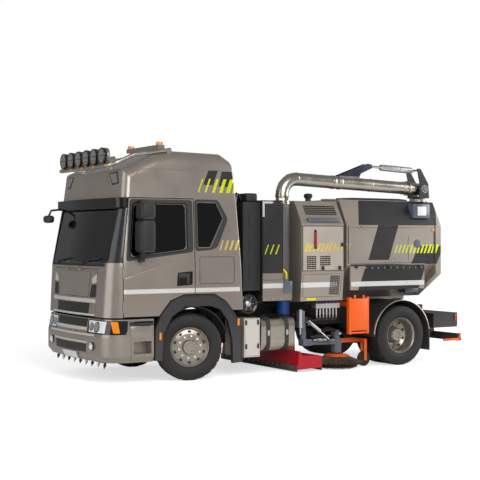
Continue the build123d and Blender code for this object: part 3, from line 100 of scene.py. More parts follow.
class SweeperLook(bpy.types.PropertyGroup):
    """Sizes and colours of the looks."""
    paint: colour_field("Paint", "Metallic paint of cab and body", "#8E857C")
    dark: colour_field("Dark areas", "Charcoal colour areas", "#353434")
    lime: colour_field("Bright marks", "Slanted marks on dark areas", "#E4EE0A")
    straw: colour_field("Pale marks", "Slanted marks on pale areas", "#F4D765")
    orange: colour_field("Orange", "Enamel of ladder and brush disc", "#F26000")
    tread_depth: length_field("Tread depth", "Depth of the tread grooves", 0.013)
    rib_pitch: length_field("Rib pitch", "Spacing of the hose ribs", 0.026)
    tine_rows: IntProperty(name="Tine rows", description="Rings of brush tines", default=7)
    hole_pitch: length_field("Hole pitch", "Spacing of grille holes", 0.03)


def look():
    """Values the user sets."""
    return bpy.context.scene.sweeper_look


def add_node(tree, kind, inputs=(), **settings):
    """Add a node, set its values and link the sockets given as inputs."""
    made = tree.nodes.new(kind)
    for key, value in settings.items():
        setattr(made, key, value)
    for key, value in inputs:
        if isinstance(value, bpy.types.NodeSocket):
            tree.links.new(value, made.inputs[key])
        else:
            made.inputs[key].default_value = value
    return made


def calc(tree, operation, *values):
    """Output of one math node."""
    return add_node(tree, "ShaderNodeMath", enumerate(values), operation=operation).outputs[0]


def ramp(tree, value, first, last, low=0.0, high=1.0):
    """Output of a value mapped from one span to another."""
    return add_node(tree, "ShaderNodeMapRange", enumerate((value, first, last, low, high))).outputs[0]


def blend(tree, share, below, above):
    """Output of two colours mixed by a share."""
    return add_node(tree, "ShaderNodeMix", [(0, share), (6, below), (7, above)], data_type="RGBA").outputs[2]


def noise(tree, where, size_mm, detail):
    """Output of a noise texture with features of a size."""
    return add_node(tree, "ShaderNodeTexNoise", [("Vector", where), ("Scale", 1000 / size_mm),
                                                 ("Detail", detail)]).outputs[0]


def marks_mask(tree, place, mark, area):
    """Mask of one block, band or row of slanted marks, kept to an area."""
    x, z = place[0], place[2]
    low, high, first, last, lean, pitch, thin, thick = mark
    run = calc(tree, "ADD", x, calc(tree, "MULTIPLY_ADD", z, lean, -lean * low))
    tall = calc(tree, "COMPARE", z, (low + high) / 2, (high - low) / 2)
    wide = calc(tree, "COMPARE", run, (first + last) / 2, abs(last - first) / 2)
    mask = calc(tree, "MULTIPLY", calc(tree, "MULTIPLY", tall, wide), area)
    if pitch:
        turn = calc(tree, "FRACT", calc(tree, "MULTIPLY_ADD", run, -1 / pitch, first / pitch))
        bars = calc(tree, "LESS_THAN", turn, ramp(tree, run, first, last, thin, thick))
        mask = calc(tree, "MULTIPLY", mask, bars)
    return mask


DUST = linear("#8F8579")
DUST_TOP, DUST_FOOT = 1.1, 0.1
OUTWARD = 0.25


def make_finish(name, colour, metal=0.0, rough=0.45, clear=0.0, patch_mm=350.0, patch=0.07, grain_mm=2.5, grain=0.05,
                dust=0.0, flake_glint=0.0, marks=(), sheen=0.0, see=0.0, stretch=(1, 1, 1), side=0.98, outward=False):
    """Material with slow shade changes, fine grain, painted glints of metal flakes, road dust that fades upward and
    painted marks.
    """
    material = bpy.data.materials.new(name)
    material.use_nodes = True
    tree = material.node_tree
    shader = tree.nodes["Principled BSDF"]
    surface = add_node(tree, "ShaderNodeTexCoord").outputs
    where = surface["Object"]
    spread = add_node(tree, "ShaderNodeMapping", [("Vector", where), ("Scale", stretch)]).outputs[0]
    slow, fine = noise(tree, where, patch_mm, 4.0), noise(tree, spread, grain_mm, 2.0)
    paint = blend(tree, slow, shade(colour, 1 - patch), shade(colour, 1 + patch))
    # The metal flakes are real; their glints are painted as lighter specks in the colour
    if flake_glint:
        glint = calc(tree, "MULTIPLY", ramp(tree, fine, 0.35, 0.7), flake_glint)
        paint = blend(tree, glint, paint, shade(colour, 1.7))
    apart = add_node(tree, "ShaderNodeSeparateXYZ", [(0, where)]).outputs
    if marks:
        # Outward finishes keep their marks to faces that look away from the truck's middle
        facing = add_node(tree, "ShaderNodeSeparateXYZ", [(0, surface["Normal"])]).outputs[1]
        reach = calc(tree, "MULTIPLY", facing, apart[1]) if outward else calc(tree, "ABSOLUTE", apart[1])
        area = calc(tree, "GREATER_THAN", reach, OUTWARD if outward else side)
    for tone, mark in marks:
        paint = blend(tree, marks_mask(tree, apart, mark, area), paint, tone)
    if dust:
        film = calc(tree, "MULTIPLY", ramp(tree, apart[2], DUST_TOP, DUST_FOOT, 0.0, dust), slow)
        paint = blend(tree, film, paint, DUST)
    tree.links.new(paint, shader.inputs["Base Color"])
    gloss = ramp(tree, slow, 0.3, 0.7, max(rough - 0.06, 0.02), min(rough + 0.06, 1.0))
    tree.links.new(gloss, shader.inputs["Roughness"])
    if grain:
        bump = add_node(tree, "ShaderNodeBump", [("Height", fine), ("Strength", grain), ("Distance", 0.002)])
        tree.links.new(bump.outputs[0], shader.inputs["Normal"])
    for key, value in (("Metallic", metal), ("Coat Weight", clear), ("Coat Roughness", 0.06), ("Sheen Weight", sheen),
                       ("Transmission Weight", see)):
        shader.inputs[key].default_value = value
    return material


def mark(low, high, first, last, lean=0.0, pitch=0.0, thin=0.0, thick=0.0):
    """Painted mark given by height and by distance behind the front axle at its foot."""
    return (low, high, AX - first, AX - last, lean, pitch, thin, thick)


WHITE = linear("#E9E7E2")


def cab_marks():
    """Charcoal blocks, growing bright bars, pale bars and the white band of the cab."""
    bright = [(look().lime, mark(2.85, 3.06, at, at + wide, 0.42)) for at, wide in
              ((0.08, 0.022), (0.2, 0.03), (0.33, 0.044), (0.455, 0.058), (0.575, 0.07), (0.69, 0.085))]
    return [
        (look().dark, mark(2.965, 3.19, 0.18, 0.35, 0.46)), (look().dark, mark(2.945, 3.18, 0.45, 0.7, 0.3)),
        *bright, (look().straw, mark(1.97, 2.12, 0.43, 0.83, 0.4, 0.088, 0.22, 0.55)),
        (WHITE, mark(1.335, 1.4, -1.19, 0.79)),
    ]


def tank_marks():
    """Pale side panel, bright bars and white band of the water tank."""
    return [(shade(look().paint, 1.12), mark(1.16, 1.6, 1.2, 1.8)),
            (look().lime, mark(1.9, 2.05, 1.25, 1.5, 0.42, 0.1, 0.18, 0.24)), (WHITE, mark(1.365, 1.44, 1.22, 1.78)),
            (WHITE, mark(2.49, 2.74, 1.215, 1.25)), (WHITE, mark(2.7, 2.74, 1.215, 1.4))]


def body_marks():
    """Charcoal areas, rows of slanted bars and white bands of cowl and hopper."""
    return [(look().dark, mark(2.375, 2.79, 3.1, 4.8, 0.36)), (look().dark, mark(1.79, 2.375, 3.3, 3.74, 0.36)),
            (look().dark, mark(1.71, 2.02, 4.22, 4.8, 0.5)),
            (look().straw, mark(1.935, 2.07, 1.99, 2.88, 0.42, 0.08, 0.72, 0.3)),
            (look().lime, mark(1.9, 2.05, 3.86, 4.82, 0.42, 0.08, 0.25, 0.62)),
            (WHITE, mark(1.36, 1.44, 1.95, 2.66))]


def skirt_marks():
    """Charcoal slanted area and white band of the hopper skirt."""
    return [(look().dark, mark(1.29, 1.71, 3.09, 4.4, 0.4)), (WHITE, mark(1.355, 1.435, 2.95, 4.72))]


def recipes():
    """Colour and settings of every finish."""
    own, slate = look(), linear("#565C6A")
    taupe = dict(metal=0.55, rough=0.33, clear=0.6, flake_glint=0.35, grain_mm=4.0, grain=0.0, patch=0.05)
    enamel = dict(rough=0.34, clear=0.35, dust=0.1)
    steel = dict(metal=1.0, rough=0.27, grain_mm=30.0, grain=0.0, stretch=(1, 40, 40), patch=0.12)
    lens = dict(rough=0.12, clear=0.6, grain_mm=10.0, grain=0.15)
    return {
        # Metallic lacquer: fine flakes under a clear coat, their glints painted as lighter specks in the colour
        "taupe_lacquer": (own.paint, dict(taupe, dust=0.3)),
        "taupe_lacquer_cab": (own.paint, dict(taupe, marks=cab_marks(), outward=True)),
        # The hopper body (x1.25) and its skirts (x1.3) take the cab paint made lighter: painted light, the rear drawn
        # as if lit more strongly
        "taupe_lacquer_body_painted_light": (shade(own.paint, 1.25), dict(taupe, marks=body_marks(), outward=True)),
        "taupe_lacquer_skirt_painted_light": (shade(own.paint, 1.3), dict(taupe, marks=skirt_marks(), outward=True)),
        "taupe_lacquer_front": (own.paint, dict(taupe, marks=[(linear("#29292B"), mark(1.79, 2.76, -1.6, -0.9))])),
        # The cowl's raised panel takes the paint made twice as light: painted light, a panel drawn as if lit from the
        # front
        "taupe_lacquer_panel_painted_light": (shade(own.paint, 2.0), dict(taupe, marks=body_marks(), outward=True)),
        "charcoal_lacquer_tank": (own.dark, dict(taupe, marks=tank_marks(), outward=True)),
        "charcoal_lacquer": (own.dark, taupe),
        "sand_lacquer": ("#D3CCC2", dict(metal=0.35, rough=0.36, clear=0.5, flake_glint=0.25, grain=0.0)),
        # Moulded plastics: soft sheen over a fine grained skin
        "grained_black_plastic": ("#1B1B1D", dict(rough=0.55, grain_mm=1.6, grain=0.25, dust=0.2)),
        "grained_grey_plastic": ("#2A2A2C", dict(rough=0.5, grain_mm=1.6, grain=0.2, dust=0.2)),
        "gloss_black_plastic": ("#0C0C0D", dict(rough=0.16, clear=0.5, grain=0.0)),
        "smoked_acrylic": ("#0A0909", dict(rough=0.22, grain=0.0)),
        "blue_moulded_plastic": ("#1E4FA0", dict(rough=0.45, dust=0.3)),
        # Chassis enamel: thick, slightly uneven and dusty
        "chassis_enamel": ("#17171A", dict(rough=0.5, grain_mm=6.0, grain=0.1, dust=0.45)),
        "slate_enamel": (slate, enamel),
        "slate_enamel_arm": (slate, dict(enamel, marks=[(own.orange, mark(0.0, 0.6, 2.93, 3.6))], side=0.5)),
        "orange_enamel": (own.orange, dict(rough=0.42, clear=0.12)),
        "crimson_enamel": ("#B4001C", dict(rough=0.42, clear=0.12)),
        "silver_wheel_enamel": ("#A29A90", dict(metal=0.8, rough=0.3, dust=0.12, grain_mm=5.0, grain=0.05)),
        # Tyre rubber: dull, with dust in the grain
        "tyre_rubber": ("#0D0C0C", dict(rough=0.66, grain_mm=5.0, grain=0.3, dust=0.12)),
        "hose_rubber": ("#6B6966", dict(rough=0.6, grain_mm=5.0, grain=0.25, patch=0.14)),
        "skirt_rubber": ("#151515", dict(rough=0.8, grain_mm=4.0, grain=0.3, dust=0.5)),
        # Bare metals
        "brushed_stainless": ("#B9B3A8", steel),
        "brushed_stainless_boom": ("#B9B3A8", dict(steel, marks=[(slate, mark(3.19, 3.6, 2.78, 3.73))], side=0.5)),
        "tank_aluminium": ("#BDB4A7", dict(steel, grain_mm=40.0, stretch=(30, 1, 1), patch=0.1)),
        "zinc_plate": ("#C9C9C6", dict(metal=0.9, rough=0.38, patch_mm=60, patch=0.12)),
        "cast_iron": ("#2B2A29", dict(metal=0.4, rough=0.6, grain_mm=4.0, grain=0.4, dust=0.4)),
        "chrome": ("#E4E4E4", dict(metal=1.0, rough=0.08, grain=0.0)),
        "mirror_glass": ("#C8CCD0", dict(metal=1.0, rough=0.03, grain=0.0)),
        # Glazing and lamps
        "tinted_glass": ("#16181A", dict(rough=0.03, grain=0.0, see=1.0, patch=0.0)),
        "clear_lens": ("#E6E9EA", dict(rough=0.08, clear=0.8, grain_mm=14.0, grain=0.25)),
        "amber_lens": ("#F08A12", lens),
        "red_lens": ("#B5121B", lens),
        "lamp_face": ("#8D8A86", dict(rough=0.15, clear=0.8, metal=0.5, grain_mm=24.0, grain=0.08)),
        "blank_plate": ("#E6E5E1", dict(rough=0.4, grain=0.0)),
        # Nylon tines and seat cloth
        "brown_tines": ("#4A3526", dict(rough=0.7, patch_mm=25, patch=0.35, dust=0.3)),
        "seat_cloth": ("#2A2A2D", dict(rough=0.9, sheen=0.4, grain_mm=3.0, grain=0.5)),
        "bright_yellow_handle": ("#E9D21A", dict(rough=0.4)),
    }


def finish(name):
    """Finish by name, made once."""
    if name not in bpy.data.materials:
        colour, settings = recipes()[name]
        make_finish(name, linear(colour) if isinstance(colour, str) else colour, **settings)
    return bpy.data.materials[name]


SKIN_FOOT = 0.004


class Shape:
    """Gathers solids and skins of several finishes into one mesh."""

    def __init__(self):
        self.bm = bmesh.new()
        self.finishes = []

    def take(self, part, finish_name):
        """Move a small mesh in, all in one finish."""
        if finish_name not in self.finishes:
            self.finishes.append(finish_name)
        index = self.finishes.index(finish_name)
        for face in part.faces:
            face.material_index = index
        held = bpy.data.meshes.new("held")
        part.to_mesh(held)
        part.free()
        self.bm.from_mesh(held)
        bpy.data.meshes.remove(held)

    def box(self, finish_name, low, high, round_off=0.006, steps=2):
        """Block with rounded edges."""
        part = bmesh.new()
        bmesh.ops.create_cube(part, size=1.0)
        low, high = Vector(low), Vector(high)
        size = high - low
        for v in part.verts:
            v.co = low + Vector((v.co[i] + 0.5) * size[i] for i in range(3))
        if round_off:
            bmesh.ops.bevel(part, geom=list(part.edges), offset=min(round_off, min(size) * 0.45), segments=steps,
                            profile=0.5, affect="EDGES")
        self.take(part, finish_name)

    def side_box(self, finish_name, side, x, y, z, round_off=0.006, steps=2):
        """Block on one side of the truck, given by spans from the front axle, outward and up."""
        near, far = sorted((side * y[0], side * y[1]))
        self.box(finish_name, (AX + x[0], near, z[0]), (AX + x[1], far, z[1]), round_off, steps)

    def plate(self, finish_name, nodes, way, corners, across, down, lift):
        """Thin plate laid on packed skins over four corners."""
        self.skin(finish_name, nodes, way, quad(corners, across, down), lift)

    def prism(self, finish_name, outline, across, axis="Y", round_off=0.0):
        """Outline pushed out along an axis between two limits."""
        part = bmesh.new()
        low, high = min(across), max(across)

        def at(p, depth):
            return {"X": (depth, p[0], p[1]), "Y": (p[0], depth, p[1]), "Z": (p[0], p[1], depth)}[axis]
        rings = [[part.verts.new(at(p, d)) for p in outline] for d in (low, high)]
        part.faces.new(rings[0])
        part.faces.new(rings[1])
        for i in range(len(outline)):
            j = (i + 1) % len(outline)
            part.faces.new((rings[0][i], rings[0][j], rings[1][j], rings[1][i]))
        bmesh.ops.recalc_face_normals(part, faces=part.faces)
        if round_off:
            bmesh.ops.bevel(part, geom=list(part.edges), offset=round_off, segments=2, profile=0.5, affect="EDGES")
        self.take(part, finish_name)

    def lathe(self, finish_name, origin, axis, profile, steps=48, closed=False, radius_at=None, skip=None):
        """Outline of offsets and radii turned about an axis."""
        part = bmesh.new()
        axis = Vector(axis).normalized()
        first = axis.orthogonal().normalized() if abs(axis.z) > 0.5 else axis.cross(Vector((0, 0, 1))).normalized()
        second = axis.cross(first)
        rings = []
        for k, (along, radius) in enumerate(profile):
            centre = Vector(origin) + axis * along
            if radius < 1e-5:
                rings.append([part.verts.new(centre)] * steps)
                continue
            ring = []
            for j in range(steps):
                r = radius_at(k, j) if radius_at else radius
                a = 2 * math.pi * j / steps
                ring.append(part.verts.new(centre + first * (r * math.cos(a)) + second * (r * math.sin(a))))
            rings.append(ring)
        count = len(rings) if closed else len(rings) - 1
        for k in range(count):
            for j in range(steps):
                if skip and skip(k, j):
                    continue
                corner = [rings[k][j], rings[k][(j + 1) % steps], rings[(k + 1) % len(rings)][(j + 1) % steps],
                          rings[(k + 1) % len(rings)][j]]
                kept = [v for i, v in enumerate(corner) if v not in corner[:i]]
                if len(kept) > 2:
                    part.faces.new(kept)
        bmesh.ops.recalc_face_normals(part, faces=part.faces)
        self.take(part, finish_name)

    def collar(self, finish_name, origin, axis, span, inner, outer, steps):
        """Ring round an axis, open on its inside."""
        first, last = span
        self.lathe(finish_name, origin, axis, [(first, inner), (first, outer), (last, outer), (last, inner)], steps)

    def tube(self, finish_name, points, radius, sides=12):
        """Round bar along a path."""
        part = bmesh.new()
        points = [Vector(p) for p in points]
        rings, across = [], None
        turns = [2 * math.pi * j / sides for j in range(sides)]
        for i, p in enumerate(points):
            ahead = (points[min(i + 1, len(points) - 1)] - points[max(i - 1, 0)]).normalized()
            across = (ahead.orthogonal() if across is None else across - ahead * across.dot(ahead)).normalized()
            third = ahead.cross(across)
            rings.append([part.verts.new(p + across * (radius * math.cos(a)) + third * (radius * math.sin(a)))
                          for a in turns])
        for a, b in zip(rings, rings[1:]):
            for j in range(sides):
                part.faces.new((a[j], a[(j + 1) % sides], b[(j + 1) % sides], b[j]))
        part.faces.new(rings[0])
        part.faces.new(rings[-1])
        bmesh.ops.recalc_face_normals(part, faces=part.faces)
        self.take(part, finish_name)

    def skin(self, finish_name, nodes, way, rows, lift=0.003, closed=False):
        """Thin plate laid on packed skins, from a grid of points seen from one way."""
        part = bmesh.new()
        top, foot = [], []
        for row in rows:
            for a, b in row:
                spot, normal = touch(nodes, way, a, b)
                top.append(part.verts.new(spot + normal * lift))
                foot.append(part.verts.new(spot - normal * SKIN_FOOT))
        wide = len(rows[0])
        last = wide if closed else wide - 1
        for r in range(len(rows) - 1):
            for c in range(last):
                d = (c + 1) % wide
                part.faces.new((top[r * wide + c], top[r * wide + d], top[(r + 1) * wide + d], top[(r + 1) * wide + c]))
        border = [(c, (c + 1) % wide) for c in range(last)]
        base = (len(rows) - 1) * wide
        border += [(base + (c + 1) % wide, base + c) for c in range(last)]
        if not closed:
            border += [((r + 1) * wide, r * wide) for r in range(len(rows) - 1)]
            border += [(r * wide + wide - 1, (r + 1) * wide + wide - 1) for r in range(len(rows) - 1)]
        for a, b in border:
            part.faces.new((top[b], top[a], foot[a], foot[b]))
        bmesh.ops.recalc_face_normals(part, faces=part.faces)
        seen = [f.normal.dot(look_back(way)) for f in part.faces]
        if sum(s for s in seen if abs(s) > 0.6) < 0:
            bmesh.ops.reverse_faces(part, faces=part.faces)
        self.take(part, finish_name)


def look_back(way):
    """Direction from the truck to a viewer on that side."""
    return {"front": Vector((1, 0, 0)), "left": Vector((0, 1, 0)), "right": Vector((0, -1, 0)),
            "rear": Vector((-1, 0, 0)), "top": Vector((0, 0, 1))}[way]


RAY_START = 6.0


def touch(nodes, way, a, b):
    """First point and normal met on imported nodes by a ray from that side."""
    back = look_back(way)
    start = back * RAY_START
    if way in ("front", "rear"):
        start = start + Vector((0, a, b))
    elif way == "top":
        start = start + Vector((a, b, 0))
    else:
        start = start + Vector((a, 0, b))
    best = None
    for name in nodes:
        hit, spot, normal, _ = NODES[name].ray_cast(start, -back)
        if hit and (best is None or (spot - start).length < best[0]):
            best = ((spot - start).length, spot.copy(), normal.copy())
    if best is None:
        raise ValueError(f"nothing to touch at {way} {a:.3f} {b:.3f}")
    normal = best[2] if best[2].dot(back) > 0 else -best[2]
    return best[1], normal


def quad(corners, across=6, down=2):
    """Grid of points over four corners."""
    p, q, r, s = (Vector(c) for c in corners)
    rows = []
    for j in range(down + 1):
        t = j / down
        left, right = p.lerp(s, t), q.lerp(r, t)
        rows.append([tuple(left.lerp(right, i / across)) for i in range(across + 1)])
    return rows


def rect(near, far, high, low):
    """Corners of an upright rectangle."""
    return ((near, high), (far, high), (far, low), (near, low))


def band(half, high, low, foot=None):
    """Corners of a band across the truck, by its half widths at top and foot."""
    foot = half if foot is None else foot
    return ((-half, high), (half, high), (foot, low), (-foot, low))


def outline(points, radius=0.04, per_corner=4, per_edge=5):
    """Closed outline with rounded corners."""
    made = []
    count = len(points)
    for i in range(count):
        p = Vector(points[i])
        before = (Vector(points[i - 1]) - p)
        after = (Vector(points[(i + 1) % count]) - p)
        r = min(radius, before.length * 0.45, after.length * 0.45)
        a, b = p + before.normalized() * r, p + after.normalized() * r
        for k in range(per_corner + 1):
            t = k / per_corner
            made.append(tuple(a.lerp(p, t).lerp(p.lerp(b, t), t)))
        c = Vector(points[(i + 1) % count])
        room = min(radius, (p - c).length * 0.45)
        end = c + (p - c).normalized() * room
        made += [tuple(b.lerp(end, k / per_edge)) for k in range(1, per_edge)]
    return made


def shrink(points, amount):
    """Outline drawn towards its middle."""
    mid = sum((Vector(p) for p in points), Vector((0, 0))) / len(points)
    return [tuple(Vector(p) + (mid - Vector(p)).normalized() * amount) for p in points]


SHARP_ANGLE = 38


def piece(name, shape, body, stands_for=()):
    """Turn a shape into an object that rides on a body."""
    mesh = bpy.data.meshes.new(name)
    shape.bm.to_mesh(mesh)
    shape.bm.free()
    for key in shape.finishes:
        mesh.materials.append(finish(key))
    mesh.polygons.foreach_set("use_smooth", [True] * len(mesh.polygons))
    mesh.set_sharp_from_angle(angle=math.radians(SHARP_ANGLE))
    made = bpy.data.objects.new(name, mesh)
    bpy.context.scene.collection.objects.link(made)
    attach(made, body)
    if stands_for:
        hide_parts(*stands_for)
    return made


def node_group(name, **inputs):
    """Empty geometry tree with number inputs by name and one for the finish."""
    tree = bpy.data.node_groups.new(name, "GeometryNodeTree")
    tree.interface.new_socket("Geometry", in_out="INPUT", socket_type="NodeSocketGeometry")
    for label, value in inputs.items():
        kind = "NodeSocketInt" if isinstance(value, int) else "NodeSocketFloat"
        tree.interface.new_socket(label, in_out="INPUT", socket_type=kind).default_value = value
    tree.interface.new_socket("Finish", in_out="INPUT", socket_type="NodeSocketMaterial")
    tree.interface.new_socket("Geometry", in_out="OUTPUT", socket_type="NodeSocketGeometry")
    return tree, add_node(tree, "NodeGroupInput").outputs


def close_group(tree, instances, given):
    """Realize the copies, give them their finish and end the tree."""
    solid = add_node(tree, "GeometryNodeRealizeInstances", [(0, instances)]).outputs[0]
    painted = add_node(tree, "GeometryNodeSetMaterial", [(0, solid), (2, given["Finish"])]).outputs[0]
    add_node(tree, "NodeGroupOutput", [(0, painted)])
    return tree


def facing_copies(tree, given, item, facing):
    """Copies of an item on the points, each turned to a direction."""
    turn = add_node(tree, "FunctionNodeAlignRotationToVector", [("Vector", facing)], axis="Z").outputs[0]
    copies = add_node(tree, "GeometryNodeInstanceOnPoints", [("Points", given["Geometry"]), ("Instance", item),
                                                             ("Rotation", turn)]).outputs[0]
    return close_group(tree, copies, given)


def point_facing(tree):
    """Direction kept on each point."""
    return add_node(tree, "GeometryNodeInputNamedAttribute", [("Name", "facing")], data_type="FLOAT_VECTOR").outputs[0]


def vector(tree, operation, *values):
    """Output of one vector math node; a scale goes last."""
    keys = (0, "Scale") if operation == "SCALE" else (0, 1)
    return add_node(tree, "ShaderNodeVectorMath", zip(keys, values), operation=operation).outputs[0]


def studs_tree():
    """Round studs, nuts or holes on points, each along the point's facing."""
    tree, given = node_group("studs", Radius=0.01, Height=0.01, Corners=6)
    stud = add_node(tree, "GeometryNodeMeshCylinder", [("Vertices", given["Corners"]), ("Radius", given["Radius"]),
                                                       ("Depth", given["Height"])]).outputs[0]
    return facing_copies(tree, given, stud, point_facing(tree))


def tines_tree():
    """Thin tines on points, each along its facing with a small random lean."""
    tree, given = node_group("tines", Length=0.2, Thickness=0.002, Spread=0.1, Seed=7)
    tine = add_node(tree, "GeometryNodeMeshCone", [("Vertices", 4), ("Radius Top", given["Thickness"]),
                                                   ("Radius Bottom", given["Thickness"]), ("Depth", given["Length"])],
                    fill_type="NONE").outputs[0]
    low, high = (vector(tree, "SCALE", (end, end, end), given["Spread"]) for end in (-1, 1))
    stray = add_node(tree, "FunctionNodeRandomValue", [(0, low), (1, high), ("Seed", given["Seed"])],
                     data_type="FLOAT_VECTOR").outputs[0]
    return facing_copies(tree, given, tine, vector(tree, "ADD", point_facing(tree), stray))


def ribs_tree():
    """Rings stacked along a line."""
    tree, given = node_group("ribs", Count=20, Pitch=0.03, Radius=0.1, Thickness=0.01)
    step = add_node(tree, "ShaderNodeCombineXYZ", [("Z", given["Pitch"])]).outputs[0]
    line = add_node(tree, "GeometryNodeMeshLine", [("Count", given["Count"]), ("Offset", step)]).outputs[0]
    hoop = add_node(tree, "GeometryNodeCurvePrimitiveCircle",
                    [("Resolution", 40), ("Radius", given["Radius"])]).outputs[0]
    cut = add_node(tree, "GeometryNodeCurvePrimitiveCircle",
                   [("Resolution", 8), ("Radius", given["Thickness"])]).outputs[0]
    ring = add_node(tree, "GeometryNodeCurveToMesh", [(0, hoop), (1, cut)]).outputs[0]
    copies = add_node(tree, "GeometryNodeInstanceOnPoints", [("Points", line), ("Instance", ring)]).outputs[0]
    return close_group(tree, copies, given)


def made_once(name, make):
    """Geometry tree by name, made once."""
    return bpy.data.node_groups[name] if name in bpy.data.node_groups else make()


def grow(shape, tree, finish_name, values, points=((0, 0, 0),), facings=((0, 0, 1),), place=None):
    """Run a tree on points and move its plain mesh into a shape."""
    seed = bpy.data.meshes.new("seed_points")
    seed.from_pydata([tuple(p) for p in points], [], [])
    holder = seed.attributes.new("facing", "FLOAT_VECTOR", "POINT")
    holder.data.foreach_set("vector", [c for f in facings for c in f])
    carrier = bpy.data.objects.new("seed_points", seed)
    bpy.context.scene.collection.objects.link(carrier)
    modifier = carrier.modifiers.new("grow", "NODES")
    modifier.node_group = tree
    values = dict(values, Finish=finish(finish_name))
    for socket in tree.interface.items_tree:
        if socket.in_out == "INPUT" and socket.name in values:
            modifier[socket.identifier] = values[socket.name]
    bpy.context.view_layer.update()
    grown = bpy.data.meshes.new_from_object(carrier.evaluated_get(bpy.context.evaluated_depsgraph_get()))
    carrier.modifiers.remove(modifier)
    bpy.data.objects.remove(carrier)
    part = bmesh.new()
    part.from_mesh(grown)
    bpy.data.meshes.remove(grown)
    if place is not None:
        bmesh.ops.transform(part, matrix=place, verts=part.verts)
    shape.take(part, finish_name)


def studs(shape, finish_name, radius, height, corners, points, facings):
    """Studs, nuts or discs of one size on points."""
    grow(shape, made_once("studs", studs_tree), finish_name, {"Radius": radius, "Height": height, "Corners": corners},
         points, facings)


def on_skin(nodes, way, places, lift=0.003):
    """Points and facings a little proud of packed skins, for studs."""
    met = [touch(nodes, way, a, b) for a, b in places]
    return [spot + normal * lift for spot, normal in met], [normal for _, normal in met]


def hole_shade_discs(shape, nodes, way, corners, pitch, lift):
    """Rows of round holes of a punched grille, drawn as dark discs a little proud of the sheet: painted shade standing
    for the dark seen through the holes.
    """
    p, q, r, s = (Vector(c) for c in corners)
    wide = max((q - p).length, (r - s).length)
    tall = max((s - p).length, (r - q).length)
    across, down = max(int(wide / pitch), 1), max(int(tall / pitch), 1)
    places = [place for row in quad(corners, across, down) for place in row]
    studs(shape, GLOSS, pitch * 0.46, 0.003, 8, *on_skin(nodes, way, places, lift))


PART_FINISHES = {
    "taupe_lacquer": ("bumper", "cab_steps"),
    "taupe_lacquer_cab": ("cab_sides", "cab_back", "cab_roof", "door_left", "door_right", "front_lid"),
    "taupe_lacquer_front": ("cab_front",),
    "taupe_lacquer_body_painted_light": ("hopper_shell", "fan_cowl", "rear_door"),
    "taupe_lacquer_skirt_painted_light": ("hopper_skirts",),
    "charcoal_lacquer_tank": ("water_tank",),
    "charcoal_lacquer": ("hose_reel", "boom_post"),
    "chassis_enamel": ("frame_rails", "front_axle", "rear_axle", "knuckle_left", "knuckle_right", "silencer",
                       "rear_underrun"),
    "cast_iron": ("driveline",),
    "grained_black_plastic": ("cab_floor", "air_stack"),
    "grained_grey_plastic": ("mudguards", "dashboard", "mirror_left", "mirror_right"),
    "smoked_acrylic": ("sun_visor",),
    "tinted_glass": ("cab_glass", "door_glass_left", "door_glass_right"),
    "gloss_black_plastic": ("road_lamps",),
    "tank_aluminium": ("fuel_tank",),
    "sand_lacquer": ("battery_box",),
    "zinc_plate": ("valve_block", "boom_cylinder"),
    "chrome": ("boom_rod",),
    "brushed_stainless": ("light_bar",),
    "brushed_stainless_boom": ("boom_pipe",),
    "blue_moulded_plastic": ("suction_duct",),
    "slate_enamel": ("brush_post",),
    "slate_enamel_arm": ("brush_arm",),
    "orange_enamel": ("ladder",),
    "crimson_enamel": ("suction_nozzle",),
    "tyre_rubber": ("guide_wheel",),
}
JOINTS = {j["name"]: j for j in frame["joints"]}


class SWEEPER_OT_part_finishes(bpy.types.Operator):
    """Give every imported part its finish"""
    bl_idname = "sweeper.part_finishes"
    bl_label = "Part finishes"

    def execute(self, context):
        for key, nodes in PART_FINISHES.items():
            for node in nodes:
                held = NODES[node].data.materials
                held.clear()
                held.append(finish(key))
        return {"FINISHED"}


TYRE_EDGE = ((0.114, 0.2865), (0.136, 0.3), (0.146, 0.318), (0.15, 0.322), (0.155, 0.352), (0.1565, 0.398),
             (0.154, 0.436), (0.151, 0.442), (0.148, 0.462), (0.137, 0.488), (0.12, 0.5015))
GROOVES = (-0.084, -0.03, 0.03, 0.084)
TREAD_STEPS, NOTCH_EVERY = 144, 6
TREAD_HALF = 0.106


def tyre(shape, centre, outward):
    """Truck tyre with ribs, grooves and shoulder notches."""
    depth = look().tread_depth
    tread = []
    for at in GROOVES:
        tread += [(at - 0.008, HUB_Z), (at - 0.006, HUB_Z - depth), (at + 0.006, HUB_Z - depth), (at + 0.008, HUB_Z)]
    edge = [(-o, r) for o, r in TYRE_EDGE]
    profile = [*edge, (-TREAD_HALF, HUB_Z), *tread, (TREAD_HALF, HUB_Z), *reversed(TYRE_EDGE)]
    shoulder = {k for k, (o, r) in enumerate(profile) if abs(o) > 0.09 and r > 0.495}

    def radius_at(k, j):
        notch = k in shoulder and j % NOTCH_EVERY == 0
        return profile[k][1] - depth * 0.8 if notch else profile[k][1]
    shape.lathe("tyre_rubber", centre, outward, profile, TREAD_STEPS, closed=True, radius_at=radius_at)


# Half the distance between the middles of twin tyres
TWIN_SHIFT = 0.1725
BOLT_CIRCLE = 0.1675
# Slots and points round a disc, rings across its slope and the ring where slots begin
RIM_SLOTS, RIM_STEPS = 10, 160
DISC_RINGS, SLOT_RING = 6, 12
INNER_BARREL = ((-0.131, 0.264), (-0.131, 0.304), (-0.125, 0.304), (-0.117, 0.2862), (0.117, 0.2862), (0.125, 0.304),
                (0.131, 0.304), (0.131, 0.291), (0.119, 0.277))


